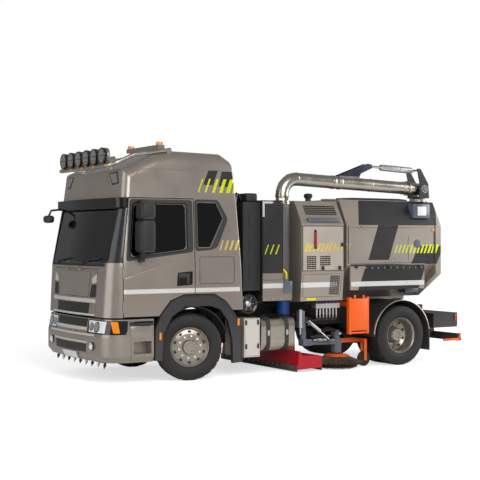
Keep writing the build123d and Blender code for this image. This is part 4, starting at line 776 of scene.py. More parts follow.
def slot_gap(first):
    """Rule that leaves out the oval openings of a disc, from a ring number on."""
    reach = {0: (6, 7, 8, 9), 1: (5, 6, 7, 8, 9, 10), 2: (5, 6, 7, 8, 9, 10), 3: (6, 7, 8, 9)}
    return lambda k, j: k - first in reach and j % (RIM_STEPS // RIM_SLOTS) in reach[k - first]


def circle_points(centre, axis, radius, count, along=0.0):
    """Points on a circle round an axis, facing along it."""
    axis = Vector(axis).normalized()
    first = axis.orthogonal().normalized()
    second = axis.cross(first)
    made = []
    for i in range(count):
        a = 2 * math.pi * (i + 0.5) / count
        made.append(Vector(centre) + axis * along + first * (radius * math.cos(a)) + second * (radius * math.sin(a)))
    return made, [axis] * count


def front_rim(shape, centre, out):
    """Front disc wheel with slots, nuts and hub cap."""
    slope = [(0.098 + 0.014 * i / DISC_RINGS, 0.262 - 0.056 * i / DISC_RINGS) for i in range(DISC_RINGS + 1)]
    profile = [(0.05, 0.258), *INNER_BARREL, (0.101, 0.268), *slope, (0.113, 0.196), (0.113, 0.146), (0.116, 0.118),
               (0.15, 0.11), (0.158, 0.102), (0.159, 0.07), (0.153, 0.064), (0.153, 0.0)]
    shape.lathe("silver_wheel_enamel", centre, out, profile, RIM_STEPS, skip=slot_gap(SLOT_RING))
    shape.lathe("cast_iron", centre, out, [(0.085, 0.256), (0.096, 0.19), (0.02, 0.15), (0.02, 0.05)], 48)
    for radius, along, size, high, key in ((BOLT_CIRCLE, 0.126, 0.016, 0.028, "chrome"),
                                           (BOLT_CIRCLE, 0.115, 0.024, 0.006, "silver_wheel_enamel"),
                                           (0.086, 0.161, 0.007, 0.008, ZINC)):
        studs(shape, key, size, high, 6 if size < 0.02 else 16, *circle_points(centre, out, radius, RIM_SLOTS, along))


def rear_rims(shape, centre, out):
    """Twin wheels: outer dish with slots, nuts and hub, and the plain inner barrel."""
    outer = [(o + TWIN_SHIFT, r) for o, r in INNER_BARREL]
    slope = [(0.1 - 0.04 * i / DISC_RINGS, 0.262 - 0.056 * i / DISC_RINGS) for i in range(DISC_RINGS + 1)]
    profile = [(0.095, 0.268), (0.06, 0.274), *outer[2:], (0.26, 0.268), (0.112, 0.266), *slope, (0.06, 0.196),
               (0.062, 0.146), (0.075, 0.136), (0.15, 0.122), (0.2, 0.112), (0.212, 0.1), (0.213, 0.06),
               (0.204, 0.054), (0.204, 0.0)]
    shape.lathe("silver_wheel_enamel", centre, out, profile, RIM_STEPS, skip=slot_gap(SLOT_RING))
    shape.lathe("cast_iron", centre, out, [(0.085, 0.258), (0.04, 0.19), (-0.24, 0.14), (-0.24, 0.062)], 48)
    inner = [(o - TWIN_SHIFT, r) for o, r in (*INNER_BARREL[:7], (0.131, 0.264))]
    shape.lathe("silver_wheel_enamel", centre, out, inner, 64, closed=True)
    for radius, along, size, high in ((BOLT_CIRCLE, 0.078, 0.016, 0.034), (0.08, 0.215, 0.008, 0.008)):
        studs(shape, ZINC, size, high, 6, *circle_points(centre, out, radius, RIM_SLOTS, along))


class SWEEPER_OT_wheels(bpy.types.Operator):
    """Tyres with tread, and disc wheels with slots and nuts"""
    bl_idname = "sweeper.wheels"
    bl_label = "Wheels"

    def execute(self, context):
        for side, name in SIDES:
            joint = JOINTS[f"front_{name}_spin"]
            centre, out = Vector(joint["pos_m"]), Vector(joint["axis"]).normalized() * side
            rubber, disc = Shape(), Shape()
            tyre(rubber, centre, out)
            front_rim(disc, centre, out)
            piece(f"front_tyre_{name}", rubber, f"front_{name}_wheel", [f"tyre_front_{name}"])
            piece(f"front_disc_{name}", disc, f"front_{name}_wheel", [f"rim_front_{name}"])
            joint = JOINTS[f"rear_{name}_spin"]
            centre, out = Vector(joint["pos_m"]), Vector((0, side, 0))
            rubber, disc = Shape(), Shape()
            for shift in (-TWIN_SHIFT, TWIN_SHIFT):
                tyre(rubber, centre + out * shift, out)
            rear_rims(disc, centre, out)
            piece(f"rear_tyres_{name}", rubber, f"rear_{name}_wheel", [f"tyres_rear_{name}"])
            piece(f"rear_discs_{name}", disc, f"rear_{name}_wheel", [f"rims_rear_{name}"])
        return {"FINISHED"}


DOOR_TRIM = ((1.066, 2.726), (0.03, 2.726), (0.03, 1.945), (1.15, 1.812))
DOOR_PANE = ((1.0, 2.655), (0.15, 2.655), (0.15, 1.985), (1.08, 1.88))
QUARTER_TRIM = ((-0.012, 1.955), (-0.012, 2.738), (-0.425, 2.738), (-0.595, 2.45), (-0.4, 2.02), (-0.3, 1.975))
QUARTER_PANE = ((-0.055, 2.015), (-0.055, 2.69), (-0.39, 2.69), (-0.51, 2.45), (-0.3, 2.06), (-0.27, 2.015))


def from_axle(points):
    """Points given behind or ahead of the front axle, in the truck's frame."""
    return [(AX + x, z) for x, z in points]


def frame_strip(shape, key, nodes, way, outer, inner, lift, radius=(0.05, 0.05)):
    """Flat frame between two outlines, laid on a skin."""
    a, b = outline(outer, radius[0]), outline(inner, radius[1])
    grid = [[tuple(Vector(p).lerp(Vector(q), t)) for p, q in zip(a, b)] for t in (0.0, 0.5, 1.0)]
    shape.skin(key, nodes, way, grid, lift, closed=True)


def seam(shape, nodes, way, points, width=0.008, radius=0.04, key=GLOSS):
    """Thin dark joint line round a panel."""
    line = outline(points, radius)
    shape.skin(key, nodes, way, [line, shrink(line, width)], 0.0012, closed=True)


ROOF_BEAD = ((0.96, 3.08), (0.9, 3.15), (0.78, 3.18), (-0.3, 3.18), (-0.4, 3.12))
# Arch lips are drawn in a little towards the wheel hub
LIP_IN, HUB_HIGH = 0.985, 0.507
ARCH_LIP = ((0.69, 0.36), (0.68, 0.8), (0.59, 1.01), (0.42, 1.215), (0.19, 1.3), (-0.33, 1.3), (-0.54, 1.18),
            (-0.69, 1.0), (-0.838, 0.76), (-0.83, 0.26))


def bead(shape, key, nodes, way, points, radius):
    """Raised line pressed along a skin through points given from the axle."""
    run = []
    for (x0, z0), (x1, z1) in zip(points, points[1:]):
        run += [touch(nodes, way, AX + x0 + (x1 - x0) * i / 8, z0 + (z1 - z0) * i / 8)[0] for i in range(8)]
    run.append(touch(nodes, way, AX + points[-1][0], points[-1][1])[0])
    shape.tube(key, run, radius, 8)


class SWEEPER_OT_cab_sides(bpy.types.Operator):
    """Window surrounds, handles, locker joints, arch lips, step plates and marker lamps of the cab sides"""
    bl_idname = "sweeper.cab_sides"
    bl_label = "Cab sides"

    def execute(self, context):
        for side, name in SIDES:
            door, cab = Shape(), Shape()
            skin = [f"door_{name}"]
            frame_strip(door, GREY, skin, name, from_axle(DOOR_TRIM), shrink(from_axle(DOOR_PANE), -0.014), 0.006)
            frame_strip(door, GLOSS, skin, name, shrink(from_axle(DOOR_PANE), -0.034),
                        shrink(from_axle(DOOR_PANE), -0.01), 0.009)
            door.plate(GLOSS, skin, name, from_axle(((0.3, 1.635), (0.045, 1.655), (0.05, 1.45),
                                                     (0.315, 1.435))), 4, 3, 0.002)
            y, z = touch(skin, name, AX + 0.18, 1.58)[0].y, 1.54
            door.box(GREY, (AX + 0.1, y - 0.012, z + 0.02), (AX + 0.285, y + 0.012, z + 0.085), 0.011)
            door.box(GREY, (AX + 0.1, y - 0.012, z - 0.075), (AX + 0.15, y + 0.01, z + 0.06), 0.01)
            bead(door, "taupe_lacquer_cab", skin, name, ((1.18, 1.555), (0.62, 1.725), (0.03, 1.895)), 0.009)
            piece(f"door_trim_{name}", door, f"{name}_door")
            frame_strip(cab, GREY, ("cab_sides",), name, from_axle(QUARTER_TRIM),
                        shrink(from_axle(QUARTER_PANE), -0.012), 0.006, radius=(0.05, 0.03))
            seam(cab, ("cab_sides", "cab_back"), name,
                 from_axle(((-0.075, 1.87), (-0.69, 1.87), (-0.69, 1.455), (-0.075, 1.465))), 0.007)
            bead(cab, "taupe_lacquer_cab", ("cab_roof",), name, ROOF_BEAD, 0.007)
            piece(f"quarter_trim_{name}", cab, "cab")
            marks = Shape()
            for x, z in ((0.6, 0.7), (-0.755, 0.86)):
                spot = touch(("mudguards",), name, AX + x, z)[0]
                low = (AX + x - 0.018, spot.y - 0.01, z - 0.055)
                marks.box("amber_lens", low, (AX + x + 0.018, spot.y + 0.012, z + 0.055), 0.008)
            lip = [(x * LIP_IN, HUB_HIGH + (z - HUB_HIGH) * LIP_IN) for x, z in ARCH_LIP]
            bead(marks, BLACK, ("mudguards",), name, lip, 0.009)
            spot = touch(("cab_steps",), name, AX + 0.74, 0.66)[0].y
            low, high = sorted((spot - side * 0.006, spot + side * 0.006))
            marks.box("taupe_lacquer", (AX + 0.745, low, 0.685), (AX + 1.085, high, 0.865), 0.004)
            marks.box(GLOSS, (AX + 0.715, low, 0.872), (AX + 1.1, high, 0.935), 0.004)
            edge = ((AX + 1.235, 0.945), (AX + 1.125, 0.945), (AX + 1.135, 0.79), (AX + 1.235, 0.75))
            marks.plate(GLOSS, BUMPER_SKIN, name, edge, 3, 3, 0.003)
            piece(f"arch_lamps_{name}", marks, "chassis")
        return {"FINISHED"}


class SWEEPER_OT_cab_nose(bpy.types.Operator):
    """Grilles, slats, lamps, blank plate, wipers, front mirror and spray bar"""
    bl_idname = "sweeper.cab_nose"
    bl_label = "Cab nose"

    def execute(self, context):
        lid, nose, lower = Shape(), Shape(), Shape()
        skin = ("front_lid",)
        lid.plate(BLACK, skin, "front", band(0.6, 1.185, 1.035, 0.57), 12, 2, 0.006)
        for z in (1.04, 1.1085, 1.178):
            lid.plate(GLOSS, skin, "front", band(0.57, z + 0.004, z - 0.004), 12, 1, 0.012)
        for z, tall in ((1.225, 0.055), (1.018, 0.028)):
            lid.plate("sand_lacquer", skin, "front", band(0.775, z + tall / 2, z - tall / 2, 0.77), 16, 2, 0.018)
        seam(lid, skin, "front", band(0.6, 1.665, 1.275, 0.55), 0.01)
        for side in (1, -1):
            lid.plate(BLACK, skin, "front", ((side * 0.64, 1.46), (side * 0.775, 1.47), (side * 0.775, 1.285),
                                             (side * 0.6, 1.275)), 4, 3, 0.006)
            lid.plate("sand_lacquer", skin, "front", ((side * 0.66, 1.56), (side * 0.78, 1.62), (side * 0.78, 1.49),
                                                      (side * 0.66, 1.48)), 4, 3, 0.008)
        piece("lid_grilles", lid, "lid")
        for side in (1, -1):
            corners = ((side * 0.66, 3.12), (side * 0.9, 3.14), (side * 0.98, 2.96), (side * 0.8, 2.94))
            nose.plate(GLOSS, ("cab_roof",), "front", corners, 4, 3, 0.006)
            nose.plate("lamp_face", ("cab_roof",), "front", shrink(corners, 0.028), 4, 3, 0.01)
            wiper = []
            for t in (0, 0.25, 0.5, 0.75, 1):
                spot = touch(("cab_front", "cab_glass"), "front", side * 0.5 + t * 0.62 - 0.31, 1.8 + 0.05 * t)[0]
                wiper.append(spot + Vector((0.018, 0, 0)))
            nose.tube(BLACK, wiper, 0.011, 8)
            foot = touch(("cab_front",), "front", side * 0.5 - 0.2, 1.75)[0]
            nose.tube(BLACK, [foot - Vector((0.02, 0, 0)), foot + Vector((0.03, 0, 0.01)), wiper[2]], 0.01, 8)
        nose.plate(BLACK, ("cab_front",), "front", band(0.98, 1.785, 1.735, 1.0), 16, 2, 0.006)
        nose.plate("taupe_lacquer", ("cab_roof",), "front", band(0.6, 3.1, 2.94, 0.7), 12, 2, 0.005)
        arm = [Vector((AX + 1.22, -1.02, 2.62)), Vector((AX + 1.4, -1.04, 2.6)), Vector((AX + 1.44, -1.06, 2.5))]
        nose.tube(BLACK, arm, 0.018, 10)
        nose.box(GREY, (AX + 1.37, -1.17, 2.4), (AX + 1.5, -0.95, 2.52), 0.045, steps=4)
        piece("nose_trim", nose, "cab")
        for high, under, half in ((0.952, 0.835, 0.545), (0.582, 0.462, 0.575)):
            lower.plate(BLACK, FRONT_SKIN, "front", band(half, high, under, half - 0.02), 14, 1, 0.004)
        for z, tall, half in ((0.803, 0.045, 0.56), (0.722, 0.03, 0.8), (0.612, 0.022, 0.6)):
            lower.plate("sand_lacquer", FRONT_SKIN, "front", band(half, z + tall / 2, z - tall / 2), 16, 2, 0.014)
        lower.plate(GLOSS, FRONT_SKIN, "front", band(0.28, 0.452, 0.338), 6, 2, 0.006)
        lower.plate("blank_plate", FRONT_SKIN, "front", band(0.26, 0.444, 0.347), 6, 2, 0.01)
        for side, name in SIDES:
            lamp = ((side * 0.6, 0.935), (side * 1.06, 0.935), (side * 1.06, 0.765), (side * 0.64, 0.765))
            lower.plate("clear_lens", ("road_lamps",), "front", lamp, 8, 3, 0.004)
            for y, wide in ((0.7, 0.1), (0.86, 0.13)):
                spot, normal = touch(("road_lamps",), "front", side * y, 0.845)
                lower.lathe(GLOSS, spot, normal, [(0.002, wide * 0.62), (0.01, wide * 0.6), (0.01, wide * 0.5)], 28)
                lower.lathe("chrome", spot, normal, [(0.01, wide * 0.5), (0.005, wide * 0.36), (0.009, wide * 0.2),
                                                     (0.01, 0.0)], 28)
            lower.plate("amber_lens", ("road_lamps",), name,
                        ((AX + 1.355, 0.935), (AX + 1.27, 0.935), (AX + 1.25, 0.77), (AX + 1.335, 0.77)), 3, 3, 0.007)
            spot = Vector((AX + 1.508, side * 0.76, 0.56))
            lower.lathe("chrome", spot, (1, 0, 0), [(-0.03, 0.06), (0.003, 0.059), (0.006, 0.052), (0.003, 0.047)], 32)
            lower.lathe("clear_lens", spot, (1, 0, 0), [(0.003, 0.048), (0.008, 0.03), (0.01, 0.0)], 32)
        bar_x, bar_z = AX + 1.33, 0.318
        lower.tube(BLACK, [(bar_x, y / 10, bar_z) for y in range(-9, 10)], 0.016, 10)
        for i in range(9):
            y = -0.88 + i * 0.22
            lower.lathe(ZINC if i % 2 else BLACK, (bar_x, y, bar_z), (0.25, 0, -1),
                        [(0.0, 0.018), (0.03, 0.018), (0.032, 0.024), (0.055, 0.024), (0.058, 0.013), (0.085, 0.012),
                         (0.085, 0.0)], 12)
        piece("bumper_trim", lower, "chassis")
        return {"FINISHED"}


class SWEEPER_OT_roof_lamps(bpy.types.Operator):
    """Spot lamps, beacons and marker lamps of the roof"""
    bl_idname = "sweeper.roof_lamps"
    bl_label = "Roof lamps"

    def execute(self, context):
        shape = Shape()
        lamp_x, lamp_z, pitch = AX + 1.29, 3.375, 0.29
        for i in range(6):
            spot = Vector((lamp_x, (i - 2.5) * pitch, lamp_z))
            shape.lathe(GLOSS, spot, (1, 0, 0), [(-0.075, 0.0), (-0.072, 0.07), (-0.05, 0.115), (0.025, 0.124),
                                                 (0.04, 0.122), (0.042, 0.108), (0.036, 0.104)], 40)
            shape.lathe("lamp_face", spot, (1, 0, 0), [(0.036, 0.105), (0.042, 0.06), (0.044, 0.0)], 40)
            shape.box(GLOSS, spot + Vector((0.034, -0.105, -0.007)), spot + Vector((0.046, 0.105, 0.007)), 0.003)
            shape.box(GLOSS, spot + Vector((0.034, -0.03, -0.055)), spot + Vector((0.046, 0.03, -0.045)), 0.003)
        for y in (-0.5, 0.5):
            shape.lathe("amber_lens", (AX + 0.235, y, 3.598), UP,
                        [(0.0, 0.056), (0.036, 0.056), (0.046, 0.048), (0.054, 0.02), (0.055, 0.0)], 28)
        points = [(lamp_x + 0.031, y, 3.225) for y in (-0.86, -0.43, 0.0, 0.43, 0.86)]
        studs(shape, "amber_lens", 0.02, 0.018, 14, points, [(1, 0, 0)] * len(points))
        piece("roof_lamps", shape, "cab")
        return {"FINISHED"}


class SWEEPER_OT_mirrors(bpy.types.Operator):
    """Mirror shells and glasses on the doors"""
    bl_idname = "sweeper.mirrors"
    bl_label = "Mirrors"

    def execute(self, context):
        for side, name in SIDES:
            shape = Shape()
            for low, high in ((2.44, 2.645), (1.97, 2.385)):
                shape.side_box("mirror_glass", side, (0.8, 0.806), (1.305, 1.455), (low + 0.02, high - 0.02), 0.002)
            for low, high, front in ((2.418, 2.668, 1.035), (1.944, 2.412, 1.048)):
                shape.side_box(BLACK, side, (0.803, front), (1.249, 1.506), (low, high), 0.055, 4)
            y = touch([f"door_{name}"], name, AX + 0.925, 1.82)[0].y
            shape.tube(BLACK, [(AX + 0.925, y, 1.83), (AX + 0.925, side * 1.25, 1.835), (AX + 0.93, side * 1.3, 1.87),
                               (AX + 0.93, side * 1.33, 1.96)], 0.032, 12)
            piece(f"mirror_shells_{name}", shape, f"{name}_door")
        return {"FINISHED"}


HOSE_RADIUS = 0.112
CLAMP_BORE = 0.1


class SWEEPER_OT_hose(bpy.types.Operator):
    """Ribbed wander hose with its clamps, and the dock at its foot"""
    bl_idname = "sweeper.hose"
    bl_label = "Wander hose"

    def execute(self, context):
        shape = Shape()
        mid = middle("wander_hose")
        foot = Vector((mid.x, mid.y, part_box("wander_hose")[0].z))
        top = JOINTS["hose_hang"]["pos_m"][2] - 0.02
        run = top - foot.z
        shape.lathe("hose_rubber", foot, UP, [(0.0, 0.0), (0.0, HOSE_RADIUS), (run, HOSE_RADIUS), (run, 0.0)], 40)
        pitch = look().rib_pitch
        count = int((run - 0.2) / pitch)
        grow(shape, made_once("ribs", ribs_tree), "hose_rubber",
             {"Count": count, "Pitch": pitch, "Radius": 0.114, "Thickness": 0.0085},
             place=Matrix.Translation(foot + Vector((0, 0, 0.12))))
        for at, tall in ((0.0, 0.032), (0.075, 0.025), (run - 0.06, 0.022), (run - 0.03, 0.03)):
            shape.collar(STEEL, foot, UP, (at, at + tall), CLAMP_BORE, 0.128 if at else 0.135, 40)
        for side in (1, -1):
            y = (mid.y + side * HOSE_RADIUS, mid.y + side * 0.124)
            shape.prism(ZINC, [(mid.x - 0.022, top - 0.03), (mid.x + 0.022, top - 0.03), (mid.x + 0.022, top + 0.024),
                               (mid.x + 0.012, top + 0.04), (mid.x - 0.012, top + 0.04),
                               (mid.x - 0.022, top + 0.024)], y)
        piece("ribbed_hose", shape, "hose", ["wander_hose"])
        dock = Shape()
        for side in (1, -1):
            y = (mid.y + side * 0.15, mid.y + side * 0.162)
            dock.prism(SLATE, [(AX - 1.598, 1.7), (AX - 1.598, 1.28), (AX - 1.77, 1.28), (AX - 1.785, 1.42),
                               (AX - 1.7, 1.62)], y, "Y", 0.002)
        dock.box(SLATE, (AX - 1.775, mid.y - 0.16, 1.36), (AX - 1.758, mid.y + 0.162, 1.47), 0.004)
        dock.box(SLATE, (AX - 1.77, 1.19, 1.28), (AX - 1.6, 1.216, 1.47), 0.006)
        dock.tube("bright_yellow_handle", [(AX - 1.7, mid.y + 0.166, 1.5), (AX - 1.7, mid.y + 0.2, 1.52),
                                           (AX - 1.69, mid.y + 0.205, 1.6),
                                           (AX - 1.66, mid.y + 0.166, 1.66)], 0.018, 10)
        piece("hose_dock", dock, "chassis")
        return {"FINISHED"}


class SWEEPER_OT_stack_and_tank(bpy.types.Operator):
    """Louvres and intake of the air stack, edges and lid of the water tank"""
    bl_idname = "sweeper.stack_and_tank"
    bl_label = "Stack and tank"

    def execute(self, context):
        shape = Shape()
        for _, name in SIDES:
            for z in (1.62, 2.02, 2.42):
                shape.plate("cast_iron", ("air_stack",), name,
                            rect(AX - 0.99, AX - 1.02, z + 0.11, z - 0.11), 1, 3, 0.004)
            seam(shape, ("air_stack",), name, rect(AX - 0.9, AX - 1.19, 2.69, 1.36), 0.006, 0.03, GREY)
            seam(shape, ("water_tank",), name, rect(AX - 1.225, AX - 1.59, 2.735, 1.49), 0.006, 0.03)
        shape.box(BLACK, (AX - 1.19, 0.7, 2.715), (AX - 0.98, 1.1, 2.86), 0.03, steps=3)
        shape.tube(GLOSS, [(AX - 1.0, 0.92, 2.74), (AX - 0.96, 0.92, 2.83), (AX - 0.92, 0.92, 2.85),
                           (AX - 0.9, 0.92, 2.78), (AX - 0.9, 0.92, 2.7)], 0.035, 14)
        shape.lathe(BLACK, (AX - 1.4, 0.5, 2.755), UP, [(0.0, 0.074), (0.034, 0.076), (0.04, 0.07), (0.042, 0.0)], 36)
        places = [(AX + x, z) for x in (-1.25, -1.41, -1.57) for z in (1.19, 2.72)]
        for _, name in SIDES:
            studs(shape, ZINC, 0.01, 0.008, 6, *on_skin(("water_tank",), name, places))
        piece("stack_and_tank_trim", shape, "chassis")
        return {"FINISHED"}


# Corners of each punched grille and how far its holes stand out, more on the raised door
COWL_GRILLES = (
    (rect(-2.1, -2.7, 2.672, 2.545), 0.004),
    (rect(-2.06, -2.215, 1.855, 1.665), 0.008),
    (rect(-2.32, -2.5, 1.855, 1.725), 0.008),
    (((-2.54, 1.535), (-2.705, 1.53), (-2.69, 1.24), (-2.525, 1.255)), 0.004),
)
# How far in and out the latches of the cowl stand
COWL_LATCH = (1.215, 1.252)


class SWEEPER_OT_cowl(bpy.types.Operator):
    """Panels, punched grilles, latches, ledge, blank label and vent cap of the fan cowl"""
    bl_idname = "sweeper.cowl"
    bl_label = "Fan cowl"

    def execute(self, context):
        shape = Shape()
        pitch = look().hole_pitch
        skin = ("fan_cowl",)
        for side, name in SIDES:
            # Raised panel in the paint made twice as light: painted light
            shape.plate("taupe_lacquer_panel_painted_light", skin, name, from_axle(rect(-1.975, -2.77, 2.345, 1.635)), 4, 4, 0.007)
            seam(shape, skin, name, from_axle(rect(-1.965, -2.78, 2.355, 1.625)), 0.014, 0.012)
            seam(shape, skin, name, from_axle(((-1.97, 1.575), (-2.765, 1.575), (-2.735, 1.2),
                                               (-1.99, 1.2))), 0.007, 0.03)
            for corners, lift in COWL_GRILLES:
                # Dark discs for the grille holes: painted shade
                hole_shade_discs(shape, skin, name, from_axle(corners), pitch, lift)
            shape.plate("bright_yellow_handle", skin, name, from_axle(rect(-2.07, -2.25, 1.188, 1.15)), 3, 1, 0.003)
            shape.side_box(SLATE, side, (-2.72, -2.08), (1.14, 1.236), (2.415, 2.487), 0.018, 3)
            shape.side_box(GLOSS, side, (-2.245, -2.19), (1.215, 1.234), (1.98, 2.29), 0.008)
            shape.side_box("crimson_enamel", side, (-2.235, -2.202), COWL_LATCH, (2.02, 2.25), 0.008)
            for x, z in ((-2.36, 1.672), (-2.7, 1.672), (-2.755, 2.05)):
                shape.side_box(BLACK, side, (x - 0.025, x + 0.025), COWL_LATCH, (z - 0.03, z + 0.03), 0.008)
        shape.lathe(BLACK, (AX - 2.3, 0.9, 2.755), UP,
                    [(0.0, 0.05), (0.05, 0.045), (0.055, 0.06), (0.1, 0.075), (0.13, 0.055), (0.135, 0.0)], 28)
        piece("cowl_trim", shape, "hopper")
        return {"FINISHED"}


# How far in and out the latches under the hopper's rail stand on each side
RAIL_LATCH = {1: (1.196, 1.234), -1: (1.204, 1.226)}


class SWEEPER_OT_hopper(bpy.types.Operator):
    """Hatch, lamp boxes, rails, latches and lamps of the hopper and its rear door"""
    bl_idname = "sweeper.hopper"
    bl_label = "Hopper"

    def execute(self, context):
        shape, tail = Shape(), Shape()
        skin = ("hopper_shell", "hopper_skirts")
        for side, name in SIDES:
            shape.plate("taupe_lacquer_body_painted_light", skin[:1], name, from_axle(rect(-4.17, -4.69, 2.195, 1.765)), 4, 4, 0.008)
            seam(shape, skin[:1], name, from_axle(rect(-2.88, -4.74, 2.335, 1.735)), 0.008, 0.02)
            spot, normal = touch(skin, name, AX - 4.36, 2.06)
            shape.lathe(SLATE, spot, normal, [(0.006, 0.075), (0.018, 0.073), (0.02, 0.06), (0.02, 0.0)], 32)
            shape.side_box(SLATE, side, (-4.67, -4.3), (0.99, 1.2), (2.5, 2.745), 0.015)
            shape.side_box("clear_lens", side, (-4.58, -4.39), (1.196, 1.206 if side > 0 else 1.226), (2.545, 2.7))
            shape.side_box("charcoal_lacquer", side, (-4.53, -2.93), (1.196, 1.226), (1.692, 1.722))
            for x in (-3.05, -3.75, -4.42):
                shape.side_box(BLACK, side, (x - 0.03, x + 0.03), RAIL_LATCH[side], (1.655, 1.7))
            spot = touch(skin, name, AX - 4.72, 2.3)[0]
            shape.box("amber_lens", (AX - 4.745, spot.y - 0.012, 2.275), (AX - 4.685, spot.y + 0.012, 2.325), 0.006)
            for x in (-2.885, -4.755):
                shape.tube(BLACK, [(AX + x, side * 1.221, z) for z in (1.73, 2.0, 2.36)], 0.007, 8)
            places = [(AX - 2.98 - i * 0.135, 1.66) for i in range(12)]
            studs(shape, ZINC, 0.009, 0.008, 8, *on_skin(skin, name, places))
        for side in (1, -1):
            shape.side_box(SLATE, side, (-4.6, -4.3), (0.8, 0.98), (1.215, 1.3), 0.01)
        for y in (0.93, -0.93):
            shape.tube(BLACK, [(AX - 2.86, y, 2.802), (AX - 3.2, y, 2.815), (AX - 4.2, y, 2.815),
                               (AX - 4.36, y, 2.802)], 0.022, 10)
        for y in (0.55, 0.47):
            shape.tube(ZINC, [(AX - 2.88, y, 2.812), (AX - 3.6, y, 2.814), (AX - 4.45, y, 2.812)], 0.013, 10)
        piece("hopper_trim", shape, "hopper")
        for side in (1, -1):
            for z, key in ((2.2, "red_lens"), (2.06, "amber_lens")):
                spot, normal = touch(("rear_door",), "rear", side * 1.1, z)
                tail.lathe(key, spot, normal, [(-0.01, 0.055), (0.014, 0.052), (0.02, 0.03), (0.021, 0.0)], 28)
        for z in (1.55, 1.95, 2.35):
            tail.plate("taupe_lacquer", ("rear_door",), "rear", band(0.95, z + 0.035, z - 0.035), 4, 1, 0.018)
        piece("tail_door_trim", tail, "tail_door")
        return {"FINISHED"}


class SWEEPER_OT_boom(bpy.types.Operator):
    """Clamps of the boom pipe, cover of its cylinder and bolts of its post"""
    bl_idname = "sweeper.boom"
    bl_label = "Boom"

    def execute(self, context):
        pipe, cover, post = Shape(), Shape(), Shape()
        pivot = Vector(JOINTS["boom_lift"]["pos_m"])
        tip = Vector((JOINTS["hose_hang"]["pos_m"][0], pivot.y, 3.125))
        start = Vector((pivot.x - 0.06, pivot.y, pivot.z - 0.003))
        along = (tip - start).normalized()
        for x, wide, radius in ((-2.44, 0.03, 0.128), (-2.33, 0.02, 0.112), (-1.62, 0.02, 0.111),
                                (-0.98, 0.055, 0.113), (-0.85, 0.055, 0.113), (-0.1, 0.02, 0.111)):
            at = start + along * ((x - start.x) / along.x)
            pipe.lathe(STEEL, at, along, [(0, CLAMP_BORE), (0, radius - 0.002), (0.003, radius),
                                          (wide - 0.003, radius), (wide, radius - 0.002), (wide, CLAMP_BORE)], 48)
        elbow = Vector((tip.x - 0.27, pivot.y, tip.z - 0.28))
        for turn in (25, 55):
            a = math.radians(turn)
            at = elbow + Vector((math.sin(a), 0, math.cos(a))) * 0.272
            pipe.collar(STEEL, at, (math.cos(a), 0, -math.sin(a)), (0, 0.012), CLAMP_BORE, 0.108, 48)
        pipe.collar(STEEL, (tip.x, pivot.y, 2.825), UP, (0, 0.03), CLAMP_BORE, 0.113, 48)
        piece("pipe_clamps", pipe, "boom")
        rear, line = Vector(JOINTS["cylinder_swing"]["pos_m"]), Vector(JOINTS["rod_slide"]["axis"])
        cover.lathe(ZINC, rear, line, [(0.05, 0.03), (0.05, 0.054), (0.3, 0.056), (0.305, 0.05), (0.33, 0.05),
                                       (0.335, 0.056), (0.7, 0.054), (0.72, 0.046), (0.72, 0.03)], 32)
        piece("cylinder_cover", cover, "cylinder")
        for side in (1, -1):
            y = pivot.y + side * 0.164
            studs(post, ZINC, 0.009, 0.012, 6, *circle_points((pivot.x, y, pivot.z), (0, side, 0), 0.055, 6))
            post.lathe(SLATE, (pivot.x, y, pivot.z), (0, side, 0),
                       [(-0.004, 0.08), (0.004, 0.078), (0.006, 0.03), (0.006, 0.024)], 32)
        piece("post_bolts", post, "post")
        return {"FINISHED"}


REEL_X, REEL_Z = AX - 1.042, 1.125


def hoop(x, y, z, radius, angles):
    """Points on an upright circle that faces the side."""
    return [(x + radius * math.cos(a), y, z + radius * math.sin(a)) for a in angles]


